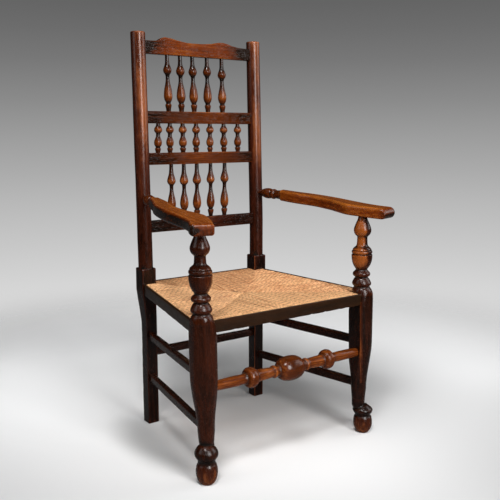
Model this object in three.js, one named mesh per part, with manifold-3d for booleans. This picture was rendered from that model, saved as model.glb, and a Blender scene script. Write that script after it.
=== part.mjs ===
// Rush-seated spindle back armchair, in millimetres, +Z up.
//
// The chair is modelled the way it is made. Two back posts carry a crest, three rails and three
// rows of turned spindles. Two front legs run up past the seat as turned arm supports. Seat rails
// and stretchers are tenoned between the legs, rush is wound over the seat rails, and thin
// strips cover the rush along the four edges.
//
// Working frame: x = 0 in the middle, y = 0 on the axis of the front legs at the floor, the back
// is on +Y and z = 0 is the floor. The last lines centre the chair over the origin.

import * as THREE from "three";
import { mergeVertices } from "three/addons/utils/BufferGeometryUtils.js";
import Module from "manifold-3d";

const wasm = await Module();
wasm.setup();

// Fits
const fitGap = 0.3; // clearance around every tenon, pin and shoulder
const overrun = 2; // how far a cutting tool runs past the face that it opens

// Back posts
const chairHeight = 1120;
const postSpan = 393.2; // between the post axes at the seat and the floor
const postTopSpan = 388.2; // the posts draw together slightly towards the top
const postFrontY = 402; // the flat front face of the square lower part
const postBlockSize = 43; // square section at the seat
const postBlockTop = 464; // where the square part ends and the round part starts
const postBlockChamfer = 2.5;
const postFootSize = 33.6;
const postTaperTop = 400;
const postTaperEnd = 305;
const postLowRadius = 20.8;
const postTopRadius = 20.4;
const postTopRounding = 3;
const postLeanBack = 20; // the top stands this far behind the block
const footChamfer = 2.5;

// Back rails
const railHeight = 34;
const railThickness = 18;
const railTenonThickness = 9;
const railTenonHeight = 24;
const railTenonLength = 13;
const railEdgeRounding = 1.5;

// Crest rail
const crestDrop = 57.5; // its lower edge is this far below the top of the posts
const crestEndHeight = 35;
const crestRise = 13; // the two humps over the level ends
const crestThickness = 18;

// Spindles
const spindlePinRadius = 4.5;
const spindlePinLength = 10;
const longSpindleRadius = 11.8;
const shortSpindleRadius = 10.6;

// Front legs
const legSpan = 527; // between the axes of the front legs
const legLeanBack = 17.3; // at the height below
const legLeanHeight = 582;
const blankSize = 54.4; // the square blank that each front leg is turned from
const blankTurnedRadius = 33.2; // the blank's corners are turned down to this
const blankTop = 384;
const ankleOffset = 11.6; // how far the ankle's centre lies towards the heel
const ankleHeight = 98;
const offsetAxisTop = 640; // the offset axis and the true axis meet here
const padRadius = 27.6;
const padTop = 93;
const supportTenonRadius = 9;
const supportTenonLength = 15;

// Arms
const armOverhang = 62.5; // the front end of an arm reaches this far outside the leg's axis
const armFrontY = -57;
const armLength = 382; // the board, without its turned rear end
const armTopFront = 643;
const armTopRise = 31.5; // from the front end of the board to its rear end
const armThicknessFront = 24.5;
const armThicknessRear = 31.5;
const armRounding = 5.5;
const armJointRise = 5; // the arm enters the back post this much above the end of its board
const armBulbRadius = 16;
const armTenonRadius = 6;
const armTenonLength = 16;

// Seat
const seatFrontHeight = 407; // top of the front strip
const seatRise = 13.5; // the back edge is this much higher
const seatFrontY = -8; // outer face of the front strip
const seatBackInset = 5; // outer face of the back strip, inside the back of the posts
const stripHeight = 31;
const stripThickness = 7;
const sideInsetFront = 4; // outer face of a side strip, inside the outer face of the front leg
const sideInsetBack = 3.5; // the same at the back post
const rushThickness = 4.5; // rush wound around a seat rail
const rushEdgeRounding = 2.5;
const rushDip = 6; // how far the middle of the seat sinks
const rushValley = 2.5; // the grooves along the diagonals
const seatRailSize = 22;
const seatRailTenonRadius = 4.8;
const seatRailTenonWall = 1.4; // wood left between two mortises that pass each other
const seatRailTenonLength = 14;
const seatRailRounding = 5;

// Stretchers
const frontStretcherHeight = 239;
const frontStretcherRadius = 32.5; // of the ball in the middle
const frontStretcherTenonRadius = 8;
const sideUpperHeight = 266;
const sideLowerHeight = 141;
const backStretcherHeight = 213;
const plainStretcherHeight = 23.5;
const plainStretcherThickness = 17;
const plainStretcherRounding = 3;
const stretcherTenonRadius = 6.5;
const stretcherTenonLength = 14;

// Facets around each kind of turned piece
const spindleFacets = 8;
const legFacets = 14;
const postFacets = 16;
const stretcherFacets = 12;
const armEndFacets = 10;
const tenonFacets = 8;

// Turned profiles as shares: the first number of each pair is a share of the turned length, the
// second one a share of the largest radius.
const longSpindleShares = [
  [0, 0.58], [0.1, 0.79], [0.14, 0.55], [0.2, 0.85], [0.27, 1], [0.38, 0.84], [0.56, 0.46],
  [0.62, 0.86], [0.68, 1], [0.74, 0.85], [0.82, 0.56], [1, 0.46],
];
const lowSpindleShares = [
  [0, 0.52], [0.12, 0.79], [0.155, 0.55], [0.22, 0.86], [0.29, 1], [0.4, 0.8], [0.53, 0.46],
  [0.6, 0.88], [0.66, 1], [0.74, 0.82], [0.83, 0.53], [1, 0.46],
];
const shortSpindleShares = [
  [0, 0.6], [0.13, 0.85], [0.2, 0.6], [0.3, 0.93], [0.4, 1], [0.52, 0.78], [0.64, 0.54],
  [0.74, 0.9], [0.81, 1], [0.88, 0.82], [1, 0.55],
];
// Middles of the rails as shares of the round part of the posts
const lowerRailShare = 0.1776;
const middleRailShare = 0.4703;
const upperRailShare = 0.6479;
// Places of the spindles as shares of half the clear width between the posts
const longSpindlePlaceShares = [-0.602, -0.357, -0.101, 0.17, 0.465];
const shortSpindlePlaceShares = [-0.812, -0.593, -0.345, -0.083, 0.198, 0.477, 0.763];

// Arm support, from the shoulder of the blank to the underside of the arm
const supportShares = [
  [0, 1], [0.075, 0.91], [0.12, 0.82], [0.165, 0.64], [0.185, 0.73], [0.215, 0.78],
  [0.24, 0.71], [0.252, 0.59], [0.278, 0.48], [0.293, 0.58], [0.312, 0.7], [0.337, 0.6],
  [0.358, 0.475], [0.402, 0.64], [0.441, 0.76], [0.488, 0.81], [0.545, 0.81], [0.564, 0.735],
  [0.58, 0.78], [0.608, 0.75], [0.647, 0.465], [0.7, 0.375], [0.735, 0.375], [0.76, 0.57],
  [0.79, 0.68], [0.82, 0.7], [0.855, 0.63], [0.9, 0.48], [0.95, 0.37], [1, 0.345],
];
// Offset turning of the leg, heights as shares of blankTop, radii as shares of blankTurnedRadius
const offsetTurningShares = [
  [0.175, 0.38], [0.21, 0.53], [0.255, 0.53], [0.325, 0.565], [0.41, 0.62], [0.48, 0.7],
  [0.55, 0.82], [0.61, 0.92], [0.7, 1], [1.03, 1], [1.08, 1.08],
];
// Pad and ball foot, heights as shares of padTop, radii as shares of padRadius
const footShares = [
  [0, 0.55], [0.06, 0.73], [0.16, 0.9], [0.3, 0.95], [0.42, 0.91], [0.52, 0.79], [0.58, 0.72],
  [0.64, 0.81], [0.7, 0.96], [0.78, 1], [0.85, 0.93], [1, 0.45],
];
// Front stretcher, from the middle to one end; shares of half its length and of the ball's radius
const stretcherShares = [
  [0, 1], [0.06, 0.965], [0.115, 0.83], [0.155, 0.58], [0.17, 0.46], [0.2, 0.43],
  [0.215, 0.5], [0.235, 0.5], [0.25, 0.42], [0.44, 0.47], [0.47, 0.5], [0.495, 0.73],
  [0.54, 0.815], [0.585, 0.72], [0.61, 0.44], [0.64, 0.4], [0.8, 0.42], [1, 0.37],
];
// Turned rear end of an arm, shares of its length from the post's face and of the bulb's radius
const armEndShares = [
  [0, 0.42], [0.08, 0.52], [0.18, 0.73], [0.3, 0.92], [0.43, 1], [0.53, 0.93], [0.6, 0.72],
  [0.63, 0.9], [0.68, 0.95], [0.73, 0.9], [0.76, 0.72], [0.85, 0.8], [1, 0.85],
];
// Upper edge of the crest: shares of its length, and of crestRise above the level ends
const crestTopShares = [
  [0, 0], [0.1, 0.1], [0.125, 0.3], [0.15, 0.85], [0.172, 1], [0.22, 0.85], [0.29, 0.56],
  [0.36, 0.3], [0.42, 0.18], [0.5, 0.18], [0.6, 0.4], [0.67, 0.75], [0.727, 0.92],
  [0.78, 0.75], [0.83, 0.38], [0.88, 0.1], [0.92, 0], [1, 0],
];
// Plan of an arm's two edges from the front: share of armLength, then share of armReach
const armInnerShares = [
  [0, 0.831], [0.05, 0.804], [0.113, 0.764], [0.202, 0.724], [0.293, 0.695], [0.398, 0.709],
  [0.49, 0.724], [0.594, 0.721], [0.673, 0.708], [0.764, 0.675], [0.856, 0.649], [0.98, 0.63],
];
const armOuterShares = [
  [0.037, 1], [0.081, 0.985], [0.134, 0.951], [0.215, 0.923], [0.301, 0.908], [0.398, 0.9],
  [0.49, 0.893], [0.583, 0.877], [0.673, 0.857], [0.778, 0.819], [0.856, 0.776], [1.02, 0.706],
];

// Steps that round a corner of a bar and of an arm's section
const barCornerSteps = 2;
const armCornerSteps = 3;

// Cells of the rush pad from side to side, from front to back and through its thickness
const rushColumns = 14;
const rushRows = 12;
const rushLayers = 3;
const rushGrooveShare = 0.19; // half width of a mitre groove as a share of half the seat

// Derived angles and lines
const roundHeight = chairHeight - postBlockTop;
const postLean = Math.atan2(postLeanBack, roundHeight);
const postDraw = Math.atan2((postSpan - postTopSpan) / 2, roundHeight);
const postAxisY = postFrontY + postBlockSize / 2;
const legLean = Math.atan2(legLeanBack, legLeanHeight);
const seatBackY = postFrontY + postBlockSize - seatBackInset;
const seatPitch = Math.atan2(seatRise, seatBackY - seatFrontY);
const crestBottom = chairHeight - crestDrop;
const armReach = legSpan / 2 + armOverhang;
const armTopAt = (y) => armTopFront + armTopRise * (y - armFrontY) / armLength;
const armThicknessAt = (y) => THREE.MathUtils.mapLinear(
  y, armFrontY, armFrontY + armLength, armThicknessFront, armThicknessRear);
const supportY = armTopFront * Math.tan(legLean);
const armUnderside = armTopAt(supportY) - armThicknessAt(supportY);
const supportTop = armUnderside + 2 * overrun; // the arm's board then trims the support
const upAxis = new THREE.Vector3(0, 0, 1);

// Materials, one per finish, copied for each piece
const finishes = {
  darkWood: { color: 0x3a1a0e, roughness: 0.38, metalness: 0 },
  wornWood: { color: 0x7a3d14, roughness: 0.36, metalness: 0 },
  turnedWood: { color: 0x5c2c12, roughness: 0.34, metalness: 0 },
  blackWood: { color: 0x1e120c, roughness: 0.5, metalness: 0 },
  rush: { color: 0xc79662, roughness: 0.85, metalness: 0 },
};

const chair = new THREE.Group();

function addPiece(name, solid, finish) {
  const mesh = new THREE.Mesh(geometryOf(solid), new THREE.MeshStandardMaterial(finish));
  mesh.name = name;
  chair.add(mesh);
}

// A closed geometry, moved by a matrix, becomes a solid for joining and cutting.
function solidOf(geometry, matrix = new THREE.Matrix4()) {
  const plain = geometry.index ? geometry.toNonIndexed() : geometry.clone();
  plain.deleteAttribute("normal");
  plain.deleteAttribute("uv");
  plain.applyMatrix4(matrix);
  const merged = mergeVertices(plain);
  return new wasm.Manifold(new wasm.Mesh({
    numProp: 3,
    vertProperties: new Float32Array(merged.attributes.position.array),
    triVerts: new Uint32Array(merged.index.array),
  }));
}

function geometryOf(solid) {
  const { vertProperties, triVerts } = solid.getMesh();
  const geometry = new THREE.BufferGeometry();
  geometry.setAttribute("position", new THREE.BufferAttribute(vertProperties, 3));
  geometry.setIndex(new THREE.BufferAttribute(triVerts, 1));
  const faceted = geometry.toNonIndexed();
  faceted.computeVertexNormals();
  return faceted;
}

const point = (x, y, z) => new THREE.Vector3(x, y, z);
const moved = (x, y, z) => new THREE.Matrix4().makeTranslation(x, y, z);
const joined = (solids) => solids.reduce((whole, next) => whole.add(next));
const cutBy = (solid, tools) => tools.reduce((rest, tool) => rest.subtract(tool), solid);

// A frame whose local Z runs from one point to another; local Y stays as level as it can.
function frameAlong(from, to) {
  const along = to.clone().sub(from).normalize();
  const across = new THREE.Vector3().crossVectors(upAxis, along);
  if (across.lengthSq() < Number.EPSILON) across.set(0, 1, 0);
  across.normalize();
  const third = new THREE.Vector3().crossVectors(across, along);
  return new THREE.Matrix4().makeBasis(third, across, along).setPosition(from);
}

// Revolve a profile of [height, radius] pairs about local Z, closed on the axis at both ends.
function turned(profile, facets, matrix) {
  const first = profile[0];
  const last = profile[profile.length - 1];
  const outline = [[first[0], 0], ...profile, [last[0], 0]];
  const lathe = new THREE.LatheGeometry(outline.map(([h, r]) => new THREE.Vector2(r, h)), facets);
  lathe.rotateX(Math.PI / 2);
  return solidOf(lathe, matrix);
}

const scaled = (shares, length, radius) => shares.map(([h, r]) => [h * length, r * radius]);

// A round pin from a point, along a direction
function pin(from, direction, length, radius, facets = tenonFacets) {
  const to = from.clone().addScaledVector(direction, length);
  return turned([[0, radius], [length, radius]], facets, frameAlong(from, to));
}

// A rectangle with its corners rounded, centred on the origin
function roundedRectangle(width, height, radius) {
  const w = width / 2;
  const h = height / 2;
  const shape = new THREE.Shape();
  shape.moveTo(radius - w, -h);
  shape.lineTo(w - radius, -h);
  shape.quadraticCurveTo(w, -h, w, radius - h);
  shape.lineTo(w, h - radius);
  shape.quadraticCurveTo(w, h, w - radius, h);
  shape.lineTo(radius - w, h);
  shape.quadraticCurveTo(-w, h, -w, h - radius);
  shape.lineTo(-w, radius - h);
  shape.quadraticCurveTo(-w, -h, radius - w, -h);
  return shape;
}

// Extrude a section from one point to another; the section's X is upright and its Y is level.
function bar(from, to, height, thickness, rounding) {
  const shape = roundedRectangle(height, thickness, rounding);
  const length = from.distanceTo(to);
  const options = { depth: length, bevelEnabled: false, curveSegments: barCornerSteps };
  return solidOf(new THREE.ExtrudeGeometry(shape, options), frameAlong(from, to));
}

// Cope the ends of a bar against the two pieces that it stands between. Each tool is moved by
// the fit gap along the bar, so that a hair's width stays free at the shoulder.
function coped(solid, from, to, fromSolid, toSolid) {
  const along = to.clone().sub(from).normalize().multiplyScalar(fitGap);
  const nearTool = fromSolid.translate([along.x, along.y, along.z]);
  const farTool = toSolid.translate([-along.x, -along.y, -along.z]);
  return cutBy(solid, [nearTool, farTool]);
}

// How far a solid reaches from a point along a direction: its lowest and its highest place
function reachAlong(solid, from, along) {
  const corners = new THREE.BufferAttribute(solid.getMesh().vertProperties, 3);
  const corner = new THREE.Vector3();
  let low = Infinity;
  let high = -Infinity;
  for (let i = 0; i < corners.count; i += 1) {
    const place = corner.fromBufferAttribute(corners, i).sub(from).dot(along);
    low = Math.min(low, place);
    high = Math.max(high, place);
  }
  return [low, high];
}

// BACK POSTS
// The square lower part is sawn to a taper from its back and its outer side, so it is the
// overlap of a front view and a side view. The round upper part leans back from the block.
function postFrame(side) {
  const base = point(side * postSpan / 2, postAxisY, postBlockTop);
  const turn = new THREE.Euler(-postLean, -side * postDraw, 0);
  return new THREE.Matrix4().makeRotationFromEuler(turn).setPosition(base);
}

function sawnProfile(fixedEdge, direction) {
  const taper = [
    [postFootSize, footChamfer], [postFootSize, postTaperEnd], [postBlockSize, postTaperTop],
    [postBlockSize, postBlockTop - postBlockChamfer],
  ];
  const shape = new THREE.Shape();
  shape.moveTo(fixedEdge + direction * footChamfer, 0);
  shape.lineTo(fixedEdge + direction * (postFootSize - footChamfer), 0);
  for (const [width, height] of taper) shape.lineTo(fixedEdge + direction * width, height);
  shape.lineTo(fixedEdge + direction * (postBlockSize - postBlockChamfer), postBlockTop);
  shape.lineTo(fixedEdge + direction * postBlockChamfer, postBlockTop);
  shape.lineTo(fixedEdge, postBlockTop - postBlockChamfer);
  shape.lineTo(fixedEdge, footChamfer);
  return shape;
}

function sawnLeg(side) {
  const innerX = side * (postSpan / 2 - postBlockSize / 2);
  const depth = postBlockSize + 2 * overrun;
  const options = { depth, bevelEnabled: false };
  const frontView = new THREE.ExtrudeGeometry(sawnProfile(innerX, side), options);
  frontView.rotateX(Math.PI / 2);
  const sideView = new THREE.ExtrudeGeometry(sawnProfile(postFrontY, 1), options);
  sideView.rotateX(Math.PI / 2);
  sideView.rotateZ(Math.PI / 2);
  const sideX = side * postSpan / 2 - depth / 2;
  return solidOf(frontView, moved(0, postFrontY + depth - overrun, 0))
    .intersect(solidOf(sideView, moved(sideX, 0, 0)));
}

const roundPostLength = roundHeight / Math.cos(postLean);
const postRadiusAt = (height) => THREE.MathUtils.mapLinear(
  height, postBlockTop, chairHeight, postLowRadius, postTopRadius);

function roundPost(side) {
  const profile = [
    [-postBlockChamfer - overrun, postLowRadius],
    [0, postLowRadius],
    [roundPostLength - postTopRounding, postTopRadius],
    [roundPostLength - postTopRounding / 3, postTopRadius - postTopRounding / 3],
    [roundPostLength, postTopRadius - postTopRounding],
  ];
  return turned(profile, postFacets, postFrame(side));
}

const postSolids = {};
for (const [name, side] of [["left", -1], ["right", 1]]) {
  postSolids[name] = sawnLeg(side).add(roundPost(side));
}

// A point on the plane of the leaning back, at a height above the floor
const backPoint = (x, height) => point(
  x, postAxisY + (height - postBlockTop) * Math.tan(postLean), height);
const postXAt = (height) => postSpan / 2 - (height - postBlockTop) * Math.tan(postDraw);
const backUp = point(0, Math.sin(postLean), Math.cos(postLean));

// BACK RAILS AND CREST
// Each rail lies in the leaning plane. Its shoulders are coped to the round posts, and a flat
// tenon at each end enters a mortise in the post.
const backFrame = (height) => new THREE.Matrix4()
  .makeRotationX(-postLean)
  .setPosition(backPoint(0, height));

function railTenon(side, height, grow) {
  const start = postXAt(height) - postRadiusAt(height) - overrun;
  const end = postXAt(height) - postRadiusAt(height) + railTenonLength;
  const size = [end - start, railTenonThickness, railTenonHeight].map((s) => s + 2 * grow);
  const geometry = new THREE.BoxGeometry(...size);
  const place = backFrame(height).multiply(moved(side * (start + end) / 2, 0, 0));
  return solidOf(geometry, place);
}

function backRail(outline, thickness, height) {
  const options = { depth: thickness - 2 * railEdgeRounding, bevelEnabled: true,
    bevelThickness: railEdgeRounding, bevelSize: railEdgeRounding, bevelOffset: -railEdgeRounding,
    bevelSegments: 1 };
  const board = new THREE.ExtrudeGeometry(outline, options);
  board.translate(0, 0, railEdgeRounding - thickness / 2);
  board.rotateX(Math.PI / 2);
  const ends = [backPoint(-postXAt(height), height), backPoint(postXAt(height), height)];
  const body = coped(solidOf(board, backFrame(height)), ...ends, postSolids.left, postSolids.right);
  return joined([body, railTenon(-1, height, 0), railTenon(1, height, 0)]);
}

function plainRailOutline(height) {
  const reach = postXAt(height);
  const shape = new THREE.Shape();
  shape.moveTo(-reach, -railHeight / 2);
  shape.lineTo(reach, -railHeight / 2);
  shape.lineTo(reach, railHeight / 2);
  shape.lineTo(-reach, railHeight / 2);
  return shape;
}

function crestOutline() {
  const reach = postXAt(crestBottom);
  const clear = reach - postRadiusAt(crestBottom);
  const top = crestTopShares.map(([along, rise]) => new THREE.Vector2(
    clear * (2 * along - 1), crestEndHeight / 2 + rise * crestRise));
  const shape = new THREE.Shape();
  shape.moveTo(-reach, -crestEndHeight / 2);
  shape.lineTo(reach, -crestEndHeight / 2);
  shape.lineTo(reach, crestEndHeight / 2);
  top.reverse().forEach((corner) => shape.lineTo(corner.x, corner.y));
  shape.lineTo(-reach, crestEndHeight / 2);
  return shape;
}

function backRailEntry(outline, thickness, height, middle, finish) {
  return { solid: backRail(outline, thickness, middle), half: height / 2, middle, finish };
}

function plainRail(placeShare, finish) {
  const middle = postBlockTop + placeShare * roundHeight;
  return backRailEntry(plainRailOutline(middle), railThickness, railHeight, middle, finish);
}

const backRails = {
  back_rail_lower: plainRail(lowerRailShare, finishes.darkWood),
  back_rail_middle: plainRail(middleRailShare, finishes.turnedWood),
  back_rail_upper: plainRail(upperRailShare, finishes.turnedWood),
  crest_rail: backRailEntry(crestOutline(), crestThickness, crestEndHeight,
    crestBottom + crestEndHeight / 2, finishes.wornWood),
};

// SPINDLES
// Each spindle stands between two rails. It is turned in one piece with a round pin at both
// ends, and the same pins, grown by the fit gap, drill the rails.
function spindle(foot, head, profileShares, radius) {
  const length = foot.distanceTo(head);
  const profile = [
    [-spindlePinLength, spindlePinRadius], [0, spindlePinRadius],
    ...scaled(profileShares, length, radius),
    [length, spindlePinRadius], [length + spindlePinLength, spindlePinRadius],
  ];
  return turned(profile, spindleFacets, frameAlong(foot, head));
}

const spindleHole = (at, direction) => pin(
  at.clone().addScaledVector(direction, -overrun), direction,
  spindlePinLength + overrun + fitGap, spindlePinRadius + fitGap, spindleFacets);

function spindleRow(row, lowName, highName, placeShares, profileShares, radius) {
  const low = backRails[lowName];
  const high = backRails[highName];
  const middle = (low.middle + high.middle) / 2;
  const clear = postXAt(middle) - postRadiusAt(middle);
  const down = backUp.clone().negate();
  placeShares.forEach((share, index) => {
    const foot = backPoint(share * clear, low.middle).addScaledVector(backUp, low.half + fitGap);
    const head = backPoint(share * clear, high.middle).addScaledVector(down, high.half + fitGap);
    low.solid = low.solid.subtract(spindleHole(foot, down));
    high.solid = high.solid.subtract(spindleHole(head, backUp));
    addPiece(`spindle_${row}_${index + 1}`, spindle(foot, head, profileShares, radius),
      finishes.turnedWood);
  });
}

spindleRow("top", "back_rail_upper", "crest_rail", longSpindlePlaceShares, longSpindleShares,
  longSpindleRadius);
spindleRow("middle", "back_rail_middle", "back_rail_upper", shortSpindlePlaceShares,
  shortSpindleShares, shortSpindleRadius);
spindleRow("lower", "back_rail_lower", "back_rail_middle", longSpindlePlaceShares,
  lowSpindleShares, longSpindleRadius);

// ARMS
// The board is lofted between its inner and outer edge: at each station a rounded section spans
// the two edges. A turned end with a tenon is joined on at the rear.
function armEdge(shares, side) {
  const points = shares.map(([along, across]) => point(
    side * across * armReach, armFrontY + along * armLength, 0));
  return new THREE.CatmullRomCurve3(points);
}

// One closed ring of a rounded section, counted the same way round on every station
function armRing(inner, outer, inset) {
  const middle = inner.clone().add(outer).multiplyScalar(1 / 2);
  const across = outer.clone().sub(inner).normalize();
  const section = roundedRectangle(
    inner.distanceTo(outer) - 2 * inset,
    armThicknessAt(middle.y) - 2 * inset,
    armRounding - inset / 2).getPoints(armCornerSteps);
  section.pop();
  return section.map((corner) => {
    const place = middle.clone().addScaledVector(across, corner.x);
    place.z = armTopAt(place.y) - armThicknessAt(middle.y) / 2 + corner.y;
    return place;
  });
}

// Skin a row of equal rings and close both ends with a fan
function loft(rings) {
  const count = rings[0].length;
  const corners = rings.flat();
  const centres = [rings[0], rings[rings.length - 1]].map((ring) => ring
    .reduce((sum, corner) => sum.add(corner), point(0, 0, 0)).multiplyScalar(1 / count));
  const [firstCentre, lastCentre] = [corners.length, corners.length + 1];
  const faces = [];
  for (let i = 0; i < rings.length - 1; i += 1) {
    for (let j = 0; j < count; j += 1) {
      const a = i * count + j;
      const b = i * count + ((j + 1) % count);
      faces.push(a, b, b + count, a, b + count, a + count);
    }
  }
  const lastStart = (rings.length - 1) * count;
  for (let j = 0; j < count; j += 1) {
    const next = (j + 1) % count;
    faces.push(firstCentre, next, j);
    faces.push(lastCentre, lastStart + j, lastStart + next);
  }
  const geometry = new THREE.BufferGeometry().setFromPoints([...corners, ...centres]);
  geometry.setIndex(faces);
  return solidOf(geometry);
}

const armStationShares = [0, 0.012, 0.06, 0.13, 0.21, 0.3, 0.38, 0.46, 0.55, 0.65, 0.76, 0.88,
  0.975, 1];

function armBoard(side) {
  const innerEdge = armEdge(armInnerShares, side);
  const outerEdge = armEdge(armOuterShares, side);
  const rings = armStationShares.map((share, index) => {
    const atEnd = index === 0 || index === armStationShares.length - 1;
    const inset = atEnd ? armRounding * 2 / 3 : 0;
    return armRing(innerEdge.getPoint(share), outerEdge.getPoint(share), inset);
  });
  return loft(side > 0 ? rings.reverse() : rings);
}

// The arm's axis at the rear: from the joint in the back post to the middle of the board's end
function armRear(side) {
  const ends = [armInnerShares.at(-1), armOuterShares.at(-1)];
  const along = (ends[0][0] + ends[1][0]) / 2;
  const across = (ends[0][1] + ends[1][1]) / 2;
  const y = armFrontY + along * armLength;
  const boardEnd = point(side * across * armReach, y, armTopAt(y) - armThicknessAt(y) / 2);
  const height = boardEnd.z + armJointRise;
  const joint = backPoint(side * postXAt(height), height);
  return { joint, boardEnd, along: boardEnd.clone().sub(joint).normalize(),
    postRadius: postRadiusAt(height) };
}

function armTurnedEnd(side) {
  const { joint, boardEnd, along, postRadius } = armRear(side);
  const start = joint.clone().addScaledVector(along, postRadius + fitGap);
  const length = start.distanceTo(boardEnd);
  const profile = scaled(armEndShares, length, armBulbRadius);
  const neckEnd = [length + armThicknessRear / 2, profile.at(-1)[1]];
  const bulb = turned([...profile, neckEnd], armEndFacets, frameAlong(start, boardEnd));
  const clear = along.clone().multiplyScalar(fitGap);
  const post = postSolids[side < 0 ? "left" : "right"].translate([clear.x, clear.y, clear.z]);
  return bulb.subtract(post).add(armTenon(side, 0));
}

function armTenon(side, grow) {
  const { joint, along, postRadius } = armRear(side);
  const start = joint.clone().addScaledVector(along, postRadius + overrun);
  return pin(start, along.clone().negate(), armTenonLength + overrun + grow, armTenonRadius + grow);
}

// FRONT LEGS
// Each leg is turned from one square blank about two axes. The true axis gives the arm support,
// the shoulder, the pad and the ball. The offset axis runs towards the heel at the foot, so the
// outer front corner is turned away and the inner back corner stays nearly straight.
const legFrame = (side) => new THREE.Matrix4()
  .makeRotationX(-legLean)
  .setPosition(point(side * legSpan / 2, 0, 0));
const legAxisY = (height) => height * Math.tan(legLean);

function legBlank(frame) {
  const bottom = padTop / 2;
  const box = new THREE.BoxGeometry(blankSize, blankSize, supportTop - bottom);
  return solidOf(box, frame.clone().multiply(moved(0, 0, (supportTop + bottom) / 2)));
}

function legShoulderAndSupport(frame) {
  const cornerRadius = blankSize; // larger than the blank's corners, so they stay square
  const shoulderStart = blankTop - blankSize / 2;
  const shoulder = [
    [0, cornerRadius],
    [shoulderStart, cornerRadius],
    [shoulderStart, blankSize / Math.SQRT2],
    [blankTop - blankSize / 4, THREE.MathUtils.lerp(blankTurnedRadius, blankSize / Math.SQRT2, 1 / 3)],
  ];
  const support = scaled(supportShares, supportTop - blankTop, blankTurnedRadius)
    .map(([h, r]) => [h + blankTop, r]);
  return turned([...shoulder, ...support], legFacets, frame);
}

function legOffsetTurning(frame, side) {
  const heelX = -side * ankleOffset / Math.SQRT2;
  const heelY = ankleOffset / Math.SQRT2;
  const shareAtFloor = offsetAxisTop / (offsetAxisTop - ankleHeight);
  const foot = point(heelX * shareAtFloor, heelY * shareAtFloor, 0);
  const top = point(0, 0, offsetAxisTop);
  const turning = offsetTurningShares.map(([h, r]) => [h * blankTop, r * blankTurnedRadius]);
  const clearOfSupport = [[turning.at(-1)[0] + overrun, blankSize], [supportTop + overrun, blankSize]];
  return turned([...turning, ...clearOfSupport], legFacets,
    frame.clone().multiply(frameAlong(foot, top)));
}

function legFoot(frame) {
  const foot = scaled(footShares, padTop, padRadius);
  return turned([[-overrun, foot[0][1]], ...foot], legFacets, frame);
}

const floorTool = solidOf(new THREE.BoxGeometry(2 * armReach, chairHeight, blankSize),
  moved(0, 0, -blankSize / 2));

const legUp = point(0, Math.sin(legLean), Math.cos(legLean));

function supportTenon(side, grow) {
  const height = armUnderside - overrun;
  const start = point(side * legSpan / 2, legAxisY(height), height);
  return pin(start, legUp, supportTenonLength + overrun + grow, supportTenonRadius + grow);
}

const legSolids = {};
const armSolids = {};
for (const [name, side] of [["left", -1], ["right", 1]]) {
  const board = armBoard(side);
  const frame = legFrame(side);
  const body = legBlank(frame)
    .intersect(legShoulderAndSupport(frame))
    .intersect(legOffsetTurning(frame, side));
  legSolids[name] = cutBy(body.add(legFoot(frame)), [floorTool, board.translate([0, 0, -fitGap])])
    .add(supportTenon(side, 0));
  armSolids[name] = board.add(armTurnedEnd(side)).subtract(supportTenon(side, fitGap));
  postSolids[name] = postSolids[name].subtract(armTenon(side, fitGap));
}

// SEAT
// The seat lies in a plane that rises slightly to the back. A point of it is given by x, y and
// the distance below the top edge of the strips.
const seatTopAt = (y) => seatFrontHeight + (y - seatFrontY) * Math.tan(seatPitch);
const seatPoint = (x, y, below) => point(x, y, seatTopAt(y) - below);

// Outer face of a side strip: half the seat's width at the two ends of that face
const sideFrontY = legAxisY(seatFrontHeight) + blankSize / 2;
const sideFrontX = legSpan / 2 + blankSize / 2 - sideInsetFront;
const sideBackX = postSpan / 2 + postBlockSize / 2 - sideInsetBack;
const sideSlope = (sideBackX - sideFrontX) / (postFrontY - sideFrontY);
const sideXAt = (y) => sideFrontX + (y - sideFrontY) * sideSlope;
const sideCos = Math.cos(Math.atan(sideSlope));
const sideLine = (side, y, inward, below) => seatPoint(
  side * (sideXAt(y) - inward / sideCos), y, below);

const railInward = stripThickness + rushThickness + fitGap + seatRailSize / 2;
const frontRailY = seatFrontY + railInward;
const backRailY = seatBackY - railInward;
const stripMiddle = stripHeight / 2;

// Each side gives its line at a distance inward and below the top edge, and the two pieces that
// it runs between. Side strips start at the back face of the front leg, rails on its axis, and
// both end a quarter of the way into the back post, where the post still covers all of them.
const railStartY = legAxisY(seatFrontHeight);
const stripStartY = sideFrontY - overrun;
const sideEndY = postFrontY + postBlockSize / 4;
const seatLines = {
  front: { at: (end, inward, below) => seatPoint(end * legSpan / 2, seatFrontY + inward, below),
    ends: [legSolids.left, legSolids.right] },
  back: { at: (end, inward, below) => seatPoint(end * postSpan / 2, seatBackY - inward, below),
    ends: [postSolids.left, postSolids.right] },
  left: { at: (end, inward, below, frontY) => sideLine(-1, end < 0 ? frontY : sideEndY,
    inward, below), ends: [legSolids.left, postSolids.left], raised: true },
  right: { at: (end, inward, below, frontY) => sideLine(1, end < 0 ? frontY : sideEndY,
    inward, below), ends: [legSolids.right, postSolids.right], raised: true },
};

const mortises = []; // every tenon, grown by the fit gap, cuts both legs that it can meet

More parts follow.
